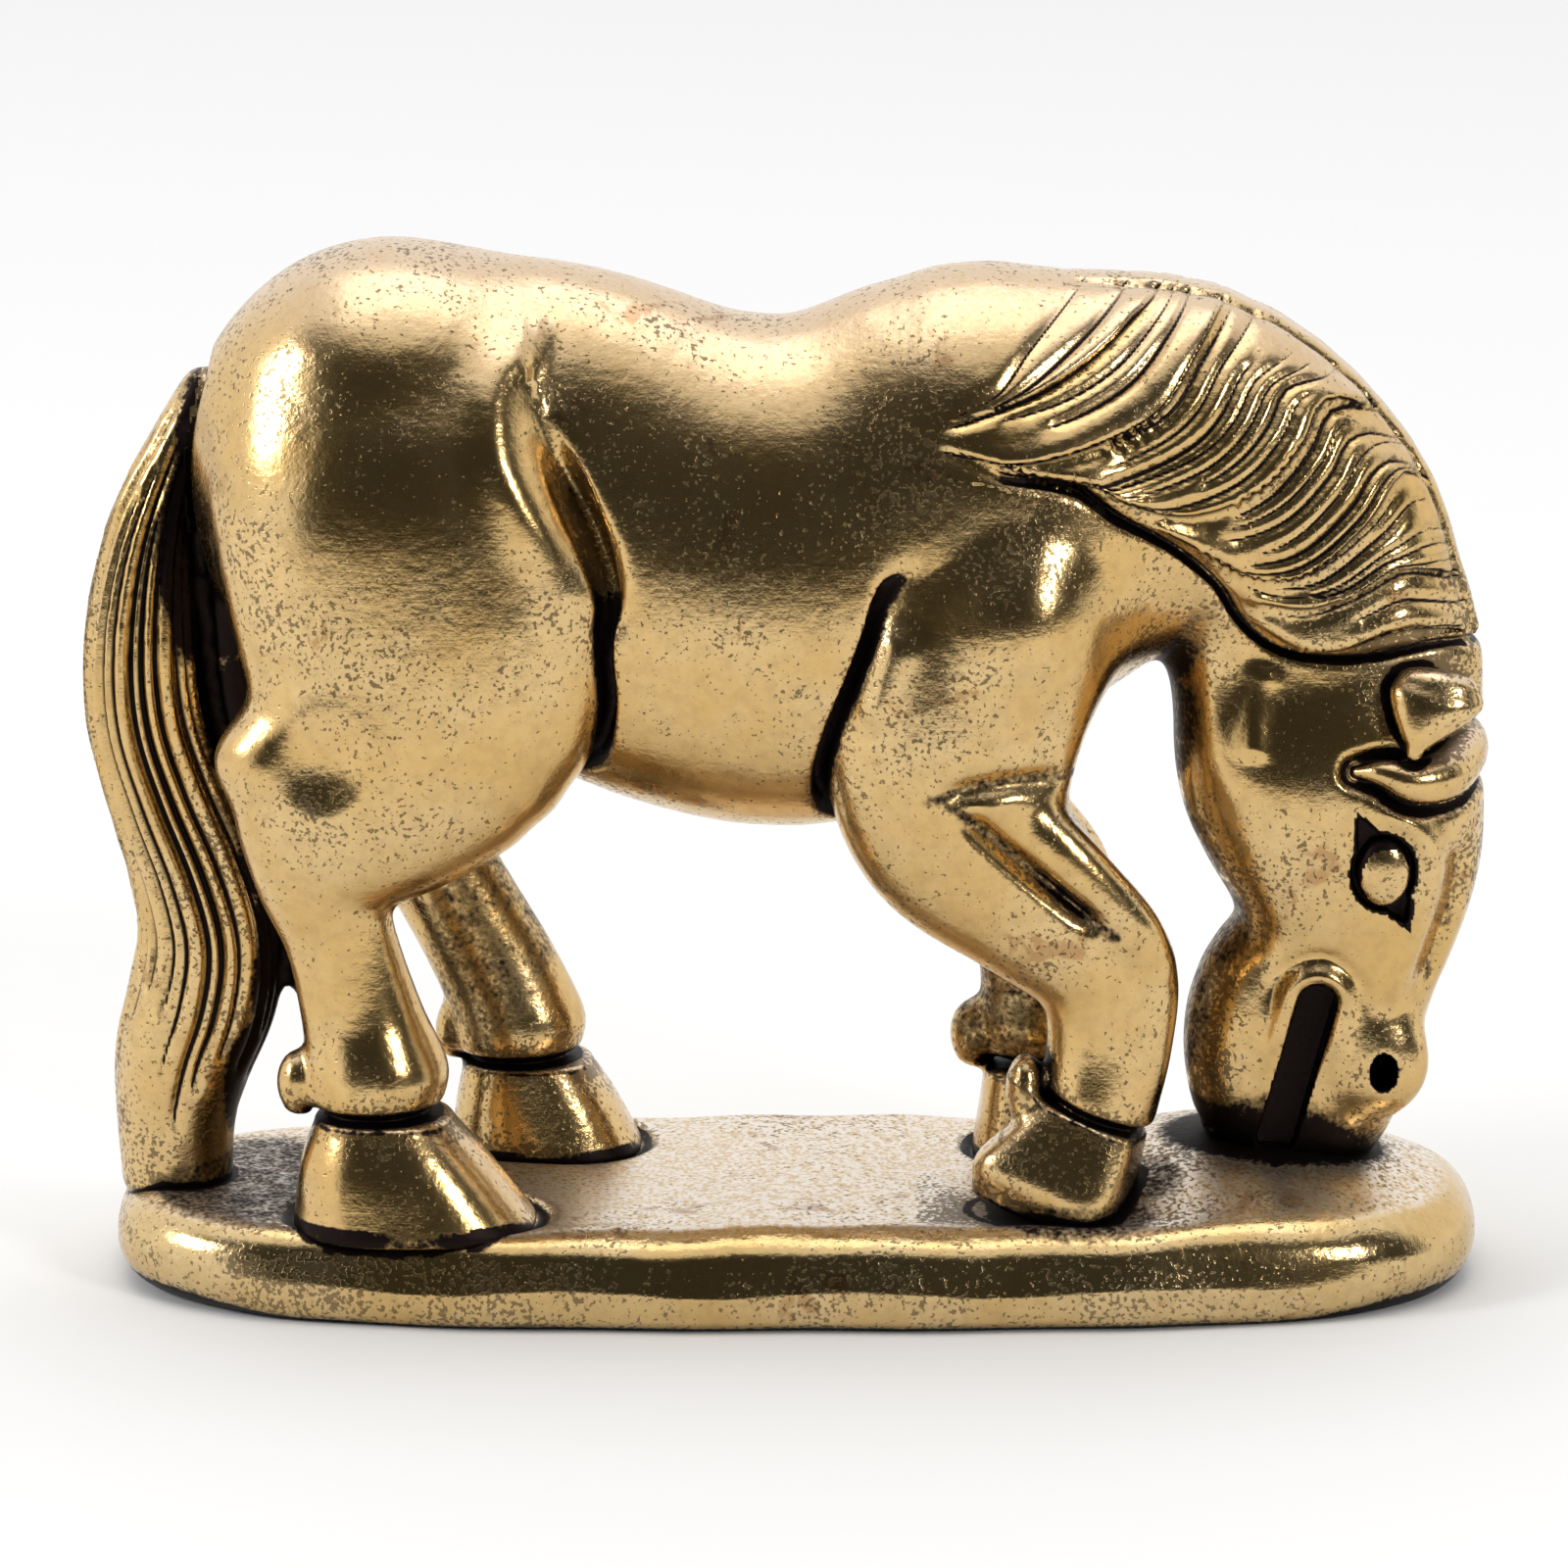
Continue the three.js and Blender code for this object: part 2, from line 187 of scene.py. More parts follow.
# Signed distance to a limb through stations [x, y, z, half depth, half width]. Sections stand square
# to the limb, or to facing. fullness 2 gives ellipses and more gives squarer sections.
def limb(stations, facing=None, fullness=2.0, startRound=1.0, endRound=1.0, step=0.4, margin=3.5,
         rounds=1, turn=0.0, perSpan=5, egg=0.0, stacked=False):
    line = catmullRom(stations, perSpan)
    centres, halves = line[:, :3], line[:, 3:5]
    reach = halves.max() + margin
    low, high = centres.min(0) - reach, centres.max(0) + reach
    box = boxAround(low, high)
    coarse = [np.arange(a - 2 * step, b + 3 * step, step) for a, b in zip(low, high)]
    points = np.stack(np.meshgrid(*coarse, indexing="ij"), -1).reshape(-1, 3).astype(np.float32)
    best = np.full(len(points), 1e3, np.float32)
    across = np.array((math.sin(turn), math.cos(turn), 0.0))

    def gauge(off, tangent, a, b, beyond, cap):
        deep = np.cross(across, tangent)
        deep /= np.linalg.norm(deep)
        wide = np.cross(tangent, deep)
        u = (off @ deep.astype(np.float32)) / a
        b = b * (1 + egg * np.clip(u, -1, 1))
        u = np.abs(u)
        v = np.abs(off @ wide.astype(np.float32)) / b
        s = beyond / cap
        if fullness == 2.0:
            k0 = np.sqrt(u * u + v * v + s * s) + 1e-4
            slope = np.sqrt((u / a) ** 2 + (v / b) ** 2 + (s / cap) ** 2) / k0 + 1e-5
        else:
            n = fullness
            k0 = (u ** n + v ** n + s ** n) ** (1 / n) + 1e-4
            slope = np.sqrt((u ** (n - 1) / a) ** 2 + (v ** (n - 1) / b) ** 2
                            + (s ** (n - 1) / cap) ** 2) / k0 ** (n - 1) + 1e-5
        return (k0 - 1) / slope

    last = len(centres) - 2
    if stacked:
        tangent = np.asarray(facing, float)
        heights = (centres - centres[0]) @ tangent
        along = (points - centres[0].astype(np.float32)) @ tangent.astype(np.float32)
        held = np.clip(along, 0, heights[-1])
        middle = np.stack([np.interp(held, heights, centres[:, k]) for k in range(3)], -1)
        a, b = (np.interp(held, heights, halves[:, k]) for k in range(2))
        cap = a * np.where(along < 0, startRound, endRound)
        best = gauge(points - middle, tangent, a, b, np.abs(along - held), cap)
        last = -1
    for i in range(last + 1):
        start, run = centres[i], centres[i + 1] - centres[i]
        length = np.linalg.norm(run)
        tangent = run / length if facing is None else np.asarray(facing, float)
        axis = run / (run @ tangent)
        toPoint = points - start.astype(np.float32)
        along = toPoint @ tangent.astype(np.float32)
        total = float(run @ tangent)
        held = np.clip(along, 0, total)
        t = held / total
        off = toPoint - held[:, None] * axis.astype(np.float32)
        a = halves[i, 0] + (halves[i + 1, 0] - halves[i, 0]) * t
        b = halves[i, 1] + (halves[i + 1, 1] - halves[i, 1]) * t
        cap = (a + b) / 2
        if i == 0:
            cap = np.where(along < 0, a * startRound, cap)
        if i == last:
            cap = np.where(along > total, a * endRound, cap)
        best = np.minimum(best, gauge(off, tangent, a, b, np.abs(along - held), cap))
    values = softened(np.clip(best, -8, 8).reshape([len(c) for c in coarse]), rounds)
    for axis in range(3):
        weights = cubicWeights(axes[axis][box[axis]], coarse[axis])
        values = np.moveaxis(np.tensordot(weights, values, (1, axis)), 0, axis)
    return box, np.ascontiguousarray(values)


def knob(centre, halves, margin=1.5):
    x, y, z = centre
    a, b, c = halves
    box = boxAround([x - a - margin, y - b - margin, z - c - margin],
                    [x + a + margin, y + b + margin, z + c + margin])
    return box, ellipsoid(*coordinates(box), centre, halves)


# Joins a shape to the sculpture. blend is the radius of the fillet, as a number or for each point.
def join(name, shape, blend):
    box, distance = shape
    if name not in castings:
        castings.append(name)
    f, n, l = field[box], nearest[box], label[box]
    closer = distance < n
    l[closer] = castings.index(name)
    n[closer] = distance[closer]
    f[...] = blendMin(f, distance, blend)


def carve(shape, blend=0.15):
    box, distance = shape
    f = field[box]
    f[...] = blendMax(f, -distance, blend)


# Adds height, in millimetres, to the surface: negative sinks it.
def relief(box, height):
    f = field[box]
    f -= height.astype(np.float32)


# Side-view distance to an open line of (x, z) points, and how far along the line the nearest point is.
def sideLine(box, points):
    gx, _, gz = coordinates(box)
    x, z = gx[:, 0, 0][:, None], gz[0, 0, :][None, :]
    gap = np.full((x.shape[0], z.shape[1]), 1e3, np.float32)
    along = np.zeros(gap.shape, np.float32)
    line = catmullRom(points, 4)
    for i, (a, b) in enumerate(zip(line, line[1:])):
        t, d = toStretch(x, z, a, b)
        along = np.where(d < gap, (i + t) / (len(line) - 1), along)
        gap = np.minimum(gap, d)
    return gap[:, None, :], along[:, None, :]


# Sinks a line of that width and depth into one side of the sculpture, fading at its ends.
# A negative depth raises it. inner is how far from the middle plane it starts to act.
def incise(side, points, width, depth, fade=0.2, inner=1.4):
    reach = 2.6 * width + 0.2
    xs, zs = zip(*points)
    ys = sorted((0, side * 8.4))
    box = boxAround((min(xs) - reach, ys[0], min(zs) - reach), (max(xs) + reach, ys[1], max(zs) + reach))
    gap, along = sideLine(box, points)
    ends = smooth(along, 0, fade) * smooth(1 - along, 0, fade)
    y = coordinates(box)[1]
    relief(box, -depth * np.exp(-(gap / width) ** 2) * ends * smooth(side * y, inner - 0.6, inner))


# Sinks a thin moat into whatever a shape is about to stand on.
def moat(shape, width=0.22, depth=0.3, beside=0.15):
    box, distance = shape
    relief(box, -depth * np.exp(-((distance - beside) / width) ** 2))


# A trench that follows the outline of a shape where it meets the sculpture. where is 1 at its full
# width and depth, and 0 where there is none.
def undercut(shape, width, depth, where):
    box, distance = shape
    f = field[box]
    trench = np.maximum(np.abs(distance - 0.1) - width * where, -(f + depth * where - 0.3 * (1 - where)))
    f[...] = blendMax(f, -trench, 0.35)


# Trunk.
trunk = {
    "stations": [
        [-11.9, 0, 25.85, 6.9, 4.9], [-7.2, 0, 24.7, 7.5, 5.3], [-3.0, 0, 23.0, 7.85, 5.8],
        [0.9, 0, 22.6, 8.0, 5.8], [4.4, 0, 24.3, 7.3, 4.9],
    ],
    "fullness": 2.1,
    "egg": 0.1,  # how much wider the barrel is below than above
}
trunkShape = limb(trunk["stations"], facing=(1, 0, 0), fullness=trunk["fullness"], startRound=0.98,
                  egg=trunk["egg"])
join("trunk", trunkShape, 0.5)
report("trunk")

# Neck and head.
neck = {
    "stations": [
        [7.5, 0, 25.5, 6.4, 4.5], [12.0, 0, 25.9, 5.6, 4.1],
        [15.4, 0, 23.8, 4.85, 3.4], [16.9, 0, 20.6, 4.45, 2.5],
    ],
    "blend": 2.5,
}
neckShape = limb(neck["stations"], endRound=0.5)
join("neck", neckShape, neck["blend"])

head = {
    "stations": [
        [17.0, 0, 19.6, 4.8, 2.35], [17.0, 0, 17.2, 4.8, 3.15], [17.2, 0, 16.0, 4.6, 3.45],
        [17.7, 0, 14.0, 4.05, 3.25],
        [17.75, 0, 12.0, 3.5, 2.85], [17.25, 0, 10.0, 3.3, 2.6], [16.35, 0, 8.2, 3.6, 2.45],
        [16.15, 0, 6.6, 3.4, 2.35], [16.2, 0, 5.4, 2.8, 2.1],
    ],
    "fullness": 2.6,
    "blend": 1.2,
    "cheekLean": 0.45,  # how far the cheek leans in towards the mane
}
headShape = limb(head["stations"], fullness=head["fullness"], startRound=0.35, endRound=0.5, step=0.3)
join("head", headShape, head["blend"])
cx, cy, cz = coordinates(headShape[0])
lean = smooth(cz, 15.4, 19.5) * smooth(-cz, -24.0, -20.5)  # heights of the upper cheek
lean = lean * smooth(np.abs(cy), 0.6, 2.2) * smooth(cx, 13.0, 15.0)
relief(headShape[0], -head["cheekLean"] * lean)
report("neck and head")

# Legs.
hindLegs = {
    right: [
        [-12.3, -2.4, 28.2, 4.3, 3.0], [-11.9, -3.5, 25.7, 5.4, 3.1], [-11.3, -3.9, 22.9, 5.8, 3.1],
        [-11.0, -4.2, 19.6, 5.45, 2.9], [-13.2, -4.4, 16.6, 4.1, 2.5],
        [-14.3, -4.4, 14.0, 2.15, 1.8], [-13.75, -4.3, 11.9, 1.75, 1.5],
        [-13.0, -4.2, 8.9, 1.95, 1.75], [-12.6, -4.2, 7.1, 2.35, 2.3],
    ],
    left: [
        [-12.1, 1.9, 28.2, 4.2, 2.9], [-11.7, 3.2, 25.7, 5.4, 3.0], [-11.2, 3.9, 22.9, 6.0, 3.1],
        [-10.6, 4.2, 19.6, 5.3, 2.9],
        [-12.0, 4.3, 16.8, 3.9, 2.5], [-12.2, 4.2, 14.2, 2.3, 1.9], [-11.0, 4.1, 12.0, 1.85, 1.7],
        [-9.1, 4.0, 8.5, 1.95, 1.75], [-8.35, 4.0, 6.4, 2.2, 2.1],
    ],
}
foreLegs = {
    right: [
        [6.0, -1.7, 27.0, 3.3, 2.5], [6.0, -2.75, 24.2, 4.1, 2.5], [5.8, -3.5, 21.2, 4.2, 2.6],
        [5.1, -3.9, 17.8, 3.95, 2.45],
        [5.5, -3.8, 15.2, 3.4, 2.2], [7.6, -3.7, 13.0, 2.7, 1.9], [9.9, -3.6, 10.8, 2.25, 1.75],
        [10.15, -3.6, 8.5, 2.0, 1.65], [9.75, -3.6, 6.1, 1.85, 1.95],
    ],
    left: [
        [5.8, 1.7, 27.0, 3.3, 2.5], [5.6, 3.0, 24.2, 4.1, 2.5], [5.0, 3.7, 20.8, 4.2, 2.6],
        [4.3, 3.7, 17.4, 3.7, 2.4],
        [4.3, 3.6, 15.2, 3.1, 2.2], [6.1, 3.4, 12.8, 2.4, 1.9], [7.9, 3.2, 10.6, 2.15, 1.8],
        [8.1, 3.2, 8.4, 1.85, 1.6], [7.9, 3.2, 6.9, 1.85, 1.8],
    ],
}
legJoint = {
    "haunch": 1.8,  # fillet over the croup
    "flank": 0.35,  # crease along the front of the thigh
    "trench": 0.3,
    "trenchDepth": 0.55,
    "farShift": 1.4,  # the far hock is this much farther forward, and the far forearm farther back
}


def legBlend(box, isHind):
    x, _, z = coordinates(box)
    high = smooth(z, 25.0, 31.0) if isHind else smooth(z, 21.5, 28.0)
    toEnd = smooth(-x, 12.0, 16.5) if isHind else smooth(x, 5.5, 9.0)
    return legJoint["flank"] + (legJoint["haunch"] - legJoint["flank"]) * np.maximum(high, toEnd)


muscles = {  # on the near side: centre, halves, fillet
    "point_of_hock": ((-15.9, -4.7, 17.6), (1.55, 1.4, 1.25), 0.9),
    "point_of_shoulder": ((7.2, -4.2, 21.7), (2.1, 2.2, 2.7), 1.2),
}
# lines drawn in the side view: points, width, depth (negative raises), fading
hindLines = [
    ([(-6.9, 30.0), (-7.9, 30.2), (-8.7, 29.3), (-8.6, 27.6), (-7.9, 25.9), (-7.0, 24.3), (-6.4, 22.6),
      (-6.3, 20.6)], 0.9, -0.4, 0.2),
    ([(-7.6, 29.1), (-7.2, 27.7), (-6.4, 26.0), (-5.6, 24.3), (-5.15, 22.5), (-5.2, 20.8)], 0.45, 0.55, 0.4),
]
foreLines = [
    ([(3.9, 22.4), (3.1, 20.4), (2.5, 18.4)], 0.6, -0.3, 0.3),
    ([(4.5, 16.6), (6.4, 17.1), (9.0, 17.1)], 0.4, 0.4, 0.3),
    ([(5.2, 16.4), (6.2, 15.5), (7.4, 14.4), (8.8, 13.2), (10.2, 12.1)], 0.35, 0.45, 0.2),
]
foreStrap = [  # the muscle down the front of the forearm
    [6.7, -4.5, 16.4, 0.7, 0.8], [8.1, -4.95, 15.1, 1.0, 0.85], [9.5, -4.95, 13.6, 1.0, 0.85],
    [10.8, -4.7, 12.1, 0.9, 0.8], [11.4, -4.3, 11.0, 0.6, 0.6],
]
for name, limbs in (("hind_leg", hindLegs), ("fore_leg", foreLegs)):
    for side in (right, left):
        shape = limb(limbs[side], endRound=0.2)
        blend = legBlend(shape[0], name == "hind_leg")
        start, full = (0.9, 0.4) if name == "hind_leg" else (1.2, 0.5)
        undercut(shape, legJoint["trench"], legJoint["trenchDepth"], smooth(-blend, -start, -full))
        join(f"{sideNames[side]}_{name}", shape, blend)
for side in (right, left):
    shift = 0.0 if side == right else legJoint["farShift"]
    for muscle, owner in (("point_of_hock", "hind_leg"), ("point_of_shoulder", "fore_leg")):
        (px, py, pz), halves, blend = muscles[muscle]
        px += shift if muscle == "point_of_hock" else -shift / 2
        join(f"{sideNames[side]}_{owner}", knob((px, -side * py, pz), halves), blend)
    strap = [[x - shift, -side * y, z, deep, wide] for x, y, z, deep, wide in foreStrap]
    join(f"{sideNames[side]}_fore_leg", limb(strap, step=0.2, margin=2.0), 0.55)
    carve(knob((-14.4 + shift, side * 7.4, 17.9), (1.3, 0.8, 1.2)), 0.9)
    for points, width, depth, fade in hindLines:
        incise(side, points, width, depth, fade)
    for points, width, depth, fade in foreLines:
        incise(side, [(x - shift, z) for x, z in points], width, depth, fade)
report("legs")

# Hooves and ergots.
hooves = {
    "right_hind": {"stations": [[-12.45, -4.2, 6.1, 2.1, 2.05], [-12.1, -4.25, 4.7, 2.95, 2.55],
                                [-11.45, -4.3, 2.7, 3.85, 2.95]],
                   "fullness": 2.5, "turn": 0.0, "facing": (0, 0, -1)},
    "left_hind": {"stations": [[-8.2, 4.0, 5.6, 2.05, 2.0], [-7.9, 4.05, 4.3, 2.6, 2.3],
                               [-7.6, 4.1, 2.7, 3.1, 2.65]],
                  "fullness": 2.5, "turn": 0.0, "facing": (0, 0, -1)},
    "right_fore": {"stations": [[9.6, -3.7, 5.9, 1.7, 1.75], [9.1, -3.75, 5.0, 2.0, 2.0],
                                [8.4, -3.8, 3.9, 2.4, 2.2], [8.0, -3.8, 2.95, 2.15, 1.8]],
                   "fullness": 4.5, "turn": 0.3, "facing": (-0.37, 0, -0.929)},
    "left_fore": {"stations": [[8.1, 3.2, 5.6, 1.7, 1.7], [8.2, 3.25, 4.4, 1.95, 1.9],
                               [8.2, 3.3, 2.7, 2.2, 2.1]],
                  "fullness": 3.0, "turn": 0.0, "facing": (0, 0, -1)},
}
ergots = {
    "right_hind": ((-15.1, -4.3, 7.2), (0.65, 0.8, 1.0)),
    "left_hind": ((-10.6, 4.0, 6.6), (0.55, 0.7, 0.9)),
    "right_fore": ((7.5, -4.0, 6.9), (0.6, 0.8, 1.1)),
    "left_fore": ((6.1, 3.2, 6.7), (0.8, 0.85, 1.1)),
}
for name, hoof in hooves.items():
    shape = limb(hoof["stations"], facing=hoof["facing"], fullness=hoof["fullness"], turn=hoof["turn"],
                 startRound=0.06, endRound=0.06, step=0.15, margin=1.5, stacked=True)
    moat(shape, 0.2, 0.3, 0.12)
    join(f"{name}_hoof", shape, 0.06)
    join(f"{name}_ergot", knob(*ergots[name]), 0.45)
report("hooves and ergots")

# Tail.
tail = {
    "stations": [
        [-18.0, 0, 28.3, 0.7, 0.8], [-18.8, 0, 26.6, 0.9, 1.1], [-19.6, 0, 23.8, 1.5, 1.8],
        [-19.9, 0, 20.7, 1.95, 2.3], [-19.8, 0, 18.0, 2.1, 2.4], [-19.2, 0, 15.6, 2.15, 2.4],
        [-18.4, 0, 13.1, 2.25, 2.4], [-18.0, 0, 10.9, 2.35, 2.4], [-18.3, 0, 8.9, 2.4, 2.4],
        [-18.9, 0, 7.0, 2.2, 2.3], [-19.2, 0, 5.1, 1.9, 2.1], [-19.2, 0, 2.9, 1.75, 1.9],
    ],
    # the flat web of metal that holds it to the thighs
    "web": [
        [-17.6, 0.2, 26.5, 1.0, 1.3], [-17.3, 0.2, 22.0, 1.6, 1.5], [-16.8, 0.2, 18.0, 1.9, 1.5],
        [-15.9, 0.2, 14.0, 1.9, 1.4], [-15.6, 0.2, 11.0, 1.8, 1.3], [-15.9, 0.2, 9.6, 1.3, 1.1],
    ],
    "blend": 0.3,
}
join("tail", limb(tail["web"], endRound=0.5), 0.3)
tailShape = limb(tail["stations"], endRound=0.1, step=0.3)
moat(tailShape, 0.3, 0.35)
join("tail", tailShape, tail["blend"])
report("tail")

# Mane, ears, forelock and face.
mane = {
    "thickness": 0.22,
    "step": 0.45,  # how far each lock stands over the next
    "lift": 0.35,  # rounding of its edge
    "parting": 0.35,  # depth of the line along the crest
    "partingShift": 1.0,  # how far it lies to the near side
    "withers": [(9.8, 33.5), (8.6, 31.8), (7.3, 30.4), (6.2, 29.0), (5.2, 28.1)],
    "edge": [(4.5, 27.5), (6.6, 26.65), (8.8, 26.3), (10.2, 25.3), (12.0, 24.2), (13.4, 22.9), (14.2, 21.6),
             (15.3, 20.7), (17.0, 20.4), (18.7, 20.5), (20.4, 20.7), (23.0, 20.4)],
    # each lock's lower line in the side view, from the crest to its tip
    "locks": [
        [(9.6, 32.6), (8.3, 31.6), (7.2, 30.4), (6.3, 29.0), (4.7, 28.1)],
        [(12.2, 32.4), (10.1, 30.4), (8.5, 29.3), (6.7, 28.6), (5.0, 28.0)],
        [(13.8, 31.8), (12.6, 29.8), (11.45, 28.2), (9.1, 27.2), (6.8, 26.85), (4.85, 27.3)],
        [(18.6, 27.9), (16.75, 28.4), (16.1, 27.3), (14.8, 25.9), (12.8, 25.1), (11.1, 25.3), (9.6, 26.1)],
        [(20.2, 25.5), (19.1, 26.0), (18.0, 24.6), (16.1, 23.1), (14.4, 23.0), (12.8, 23.9), (11.5, 24.7)],
        [(21.3, 22.6), (19.6, 23.0), (18.9, 23.0), (17.75, 22.4), (16.1, 21.9), (14.5, 22.2)],
        [(21.7, 20.7), (20.2, 21.0), (18.9, 21.0), (17.25, 20.5), (15.8, 20.6), (14.6, 21.4)],
    ],
    "between": [2, 3, 8, 6, 5, 3],  # finer strokes in each lock
    "wander": 0.07,
    "seed": 4,
}


def outlineDistance(box, outline):
    gx, _, gz = coordinates(box)
    x, z = gx[:, 0, 0][:, None], gz[0, 0, :][None, :]
    gap = np.full((x.shape[0], z.shape[1]), 1e3, np.float32)
    inside = np.zeros(gap.shape, bool)
    for (ax, az), (bx, bz) in zip(outline, outline[1:] + outline[:1]):
        gap = np.minimum(gap, toStretch(x, z, (ax, az), (bx, bz))[1])
        crosses = (az > z) != (bz > z)
        inside ^= crosses & (x < ax + (bx - ax) * (z - az) / (bz - az if bz != az else 1e-9))
    return np.where(inside, -gap, gap)[:, None, :]


neckBox, neckDistance = neckShape
maneOutline = [tuple(p) for p in catmullRom(mane["withers"] + mane["edge"], 4)] + [(24.0, 36.0), (9.8, 36.0)]
toEdge = outlineDistance(neckBox, maneOutline)
fromWithers = sideLine(neckBox, mane["withers"])[0]
lockHeight = np.zeros_like(toEdge)
for upper, lower in zip(mane["locks"], mane["locks"][1:]):
    outline = [tuple(p) for p in catmullRom(upper, 4)] + [tuple(p) for p in catmullRom(lower, 4)[::-1]]
    toUpper, toLower = sideLine(neckBox, upper)[0], sideLine(neckBox, lower)[0]
    part = toUpper / (toUpper + toLower + 1e-3)
    lockHeight = np.where(outlineDistance(neckBox, outline) < 0, mane["step"] * part ** 1.5, lockHeight)
lockHeight = softened(lockHeight, 4)
bodyDistance = blendMin(neckDistance, field[neckBox], 0.5)
y = coordinates(neckBox)[1]
fromCrest = smooth(np.abs(y), 0.0, 2.2)
onFlank = smooth(np.abs(y), 0.9, 3.0)
settled = smooth(fromWithers, 0.0, 3.5)
besideMane = -0.26 * np.exp(-((toEdge - 0.1) / 0.18) ** 2) * smooth(fromWithers, 0.8, 3.0)
relief(neckBox, besideMane * np.ones_like(y))
parting = mane["parting"] * np.exp(-((y + mane["partingShift"]) / 0.17) ** 2)
thickness = settled * (mane["thickness"] * (0.25 + 0.75 * fromCrest) + lockHeight * onFlank)
maneDistance = blendMax(bodyDistance - thickness + parting, toEdge, mane["lift"])
for side in (right, left):
    halfDistance = np.where(side * y > 0, maneDistance, maneDistance + 50)
    join(f"{sideNames[side]}_mane", (neckBox, halfDistance.astype(np.float32)), 0.05)
report("mane")

face = {
    "eye": {"middle": (18.6, 13.6), "halfLong": 2.0, "halfWide": 0.6, "lean": 0.42, "depth": 0.5,
            "ring": (1.0, 1.25)},
    "eyeBall": {"place": (18.6, 2.98, 13.6), "halves": (0.86, 0.5, 1.12)},
    "mouth": {"top": (16.65, 9.2), "bottom": (15.45, 4.7), "half": 0.58, "depth": 1.3},
    "nostril": {"place": (18.75, 1.75, 7.1), "halves": (1.45, 1.0, 1.6), "hole": (0.42, 1.2, 0.6)},
    # lines drawn in the side view: points, width, depth (negative raises)
    "lines": [
        ([(17.9, 15.9), (19.3, 15.3), (20.2, 14.1), (20.0, 12.2), (19.3, 10.2), (18.6, 8.6)], 0.45, -0.3),
        ([(20.9, 14.8), (20.8, 12.9), (20.3, 11.2), (19.7, 9.2)], 0.4, 0.45),
        ([(15.0, 20.2), (14.6, 18.6), (14.5, 16.9)], 0.5, -0.2),
        ([(14.9, 8.6), (15.5, 10.1), (16.8, 10.75), (17.9, 9.9), (18.1, 8.7)], 0.3, 0.12),
    ],
}


# Side-view distance to the outline of the eye: a ring round the ball, drawn out to two points.
def eyeOutline(gx, gz, eye):
    x, z = gx - eye["middle"][0], gz - eye["middle"][1]
    c, s = math.cos(eye["lean"]), math.sin(eye["lean"])
    u, v = x * c + z * s, -x * s + z * c
    radius = (eye["halfLong"] ** 2 + eye["halfWide"] ** 2) / (2 * eye["halfWide"])
    lens = np.hypot(np.abs(u) + radius - eye["halfWide"], v) - radius
    a, b = eye["ring"]
    return np.minimum(lens, (np.hypot(x / a, z / b) - 1) * a)


headBox, headDistance = headShape
hx, hy, hz = coordinates(headBox)
eye, ball, mouth, nostril = (face[key] for key in ("eye", "eyeBall", "mouth", "nostril"))
for side in (right, left):
    px, py, pz = nostril["place"]
    join("head", knob((px, side * py, pz), nostril["halves"]), 1.0)
onSide = np.abs(hy) > 1.2
eyePit = np.maximum(eyeOutline(hx, hz, eye), -(headDistance + eye["depth"]))
carve((headBox, np.where(onSide, eyePit, 4.0)), 0.12)
slot = toStretch(hx, hz, mouth["top"], mouth["bottom"])[1] - mouth["half"]
relief(headBox, 0.22 * np.exp(-((slot - 0.35) / 0.3) ** 2) * onSide * smooth(hz, 6.6, 8.6))
for side in (right, left):
    for points, width, depth in face["lines"]:
        incise(side, points, width, depth, inner=1.2)
mouthPit = np.maximum(slot, -(headDistance + mouth["depth"]))
carve((headBox, np.where(onSide, mouthPit, 4.0)), 0.2)
for side in (right, left):
    px, py, pz = nostril["place"]
    carve(knob((px, side * (py + 0.75), pz - 0.1), nostril["hole"]), 0.12)
    ex, ey, ez = ball["place"]
    join(f"{sideNames[side]}_eye", knob((ex, side * ey, ez), ball["halves"]), 0.05)

ear = [
    [20.25, 2.85, 19.6, 1.3, 0.65], [20.15, 3.0, 19.1, 1.5, 0.8], [19.85, 3.2, 18.5, 1.1, 0.7],
    [19.6, 3.4, 17.95, 0.6, 0.5], [19.45, 3.5, 17.5, 0.2, 0.3],
]
forelock = [
    [17.7, -3.1, 16.8, 0.15, 0.2], [18.6, -3.3, 16.8, 0.42, 0.45], [19.5, -3.2, 16.5, 0.65, 0.5],
    [20.5, -2.5, 16.6, 0.8, 0.5], [21.0, -1.3, 16.9, 0.85, 0.5], [21.15, 0, 17.0, 0.85, 0.5],
]
forelock += [[x, -y, z, deep, wide] for x, y, z, deep, wide in forelock[-2::-1]]


def bead(stations, margin=1.5):
    line = catmullRom(stations, 6)
    low, high = line[:, :3].min(0) - margin - 0.8, line[:, :3].max(0) + margin + 0.8
    box = boxAround(low, high)
    gx, gy, gz = coordinates(box)
    best = np.full([part.stop - part.start for part in box], 9.0, np.float32)
    for a, b in zip(line, line[1:]):
        run = b[:3] - a[:3]
        x, y, z = gx - a[0], gy - a[1], gz - a[2]
        t = np.clip((x * run[0] + y * run[1] + z * run[2]) / (run @ run), 0, 1)
        gap = np.sqrt((x - run[0] * t) ** 2 + (y - run[1] * t) ** 2 + (z - run[2] * t) ** 2)
        best = np.minimum(best, gap - a[3] - (b[3] - a[3]) * t)
    return box, best


moat(bead(forelock), 0.25, 0.35)
join("forelock", bead(forelock), 0.1)
for side in (right, left):
    stations = [[x, side * y, z, deep, wide] for x, y, z, deep, wide in ear]
    shape = limb(stations, facing=(-0.2, 0, -0.98), startRound=0.3, step=0.15, margin=1.5, stacked=True)
    moat(shape, 0.14, 0.16)
    join(f"{sideNames[side]}_ear", shape, 0.06)
report("face")

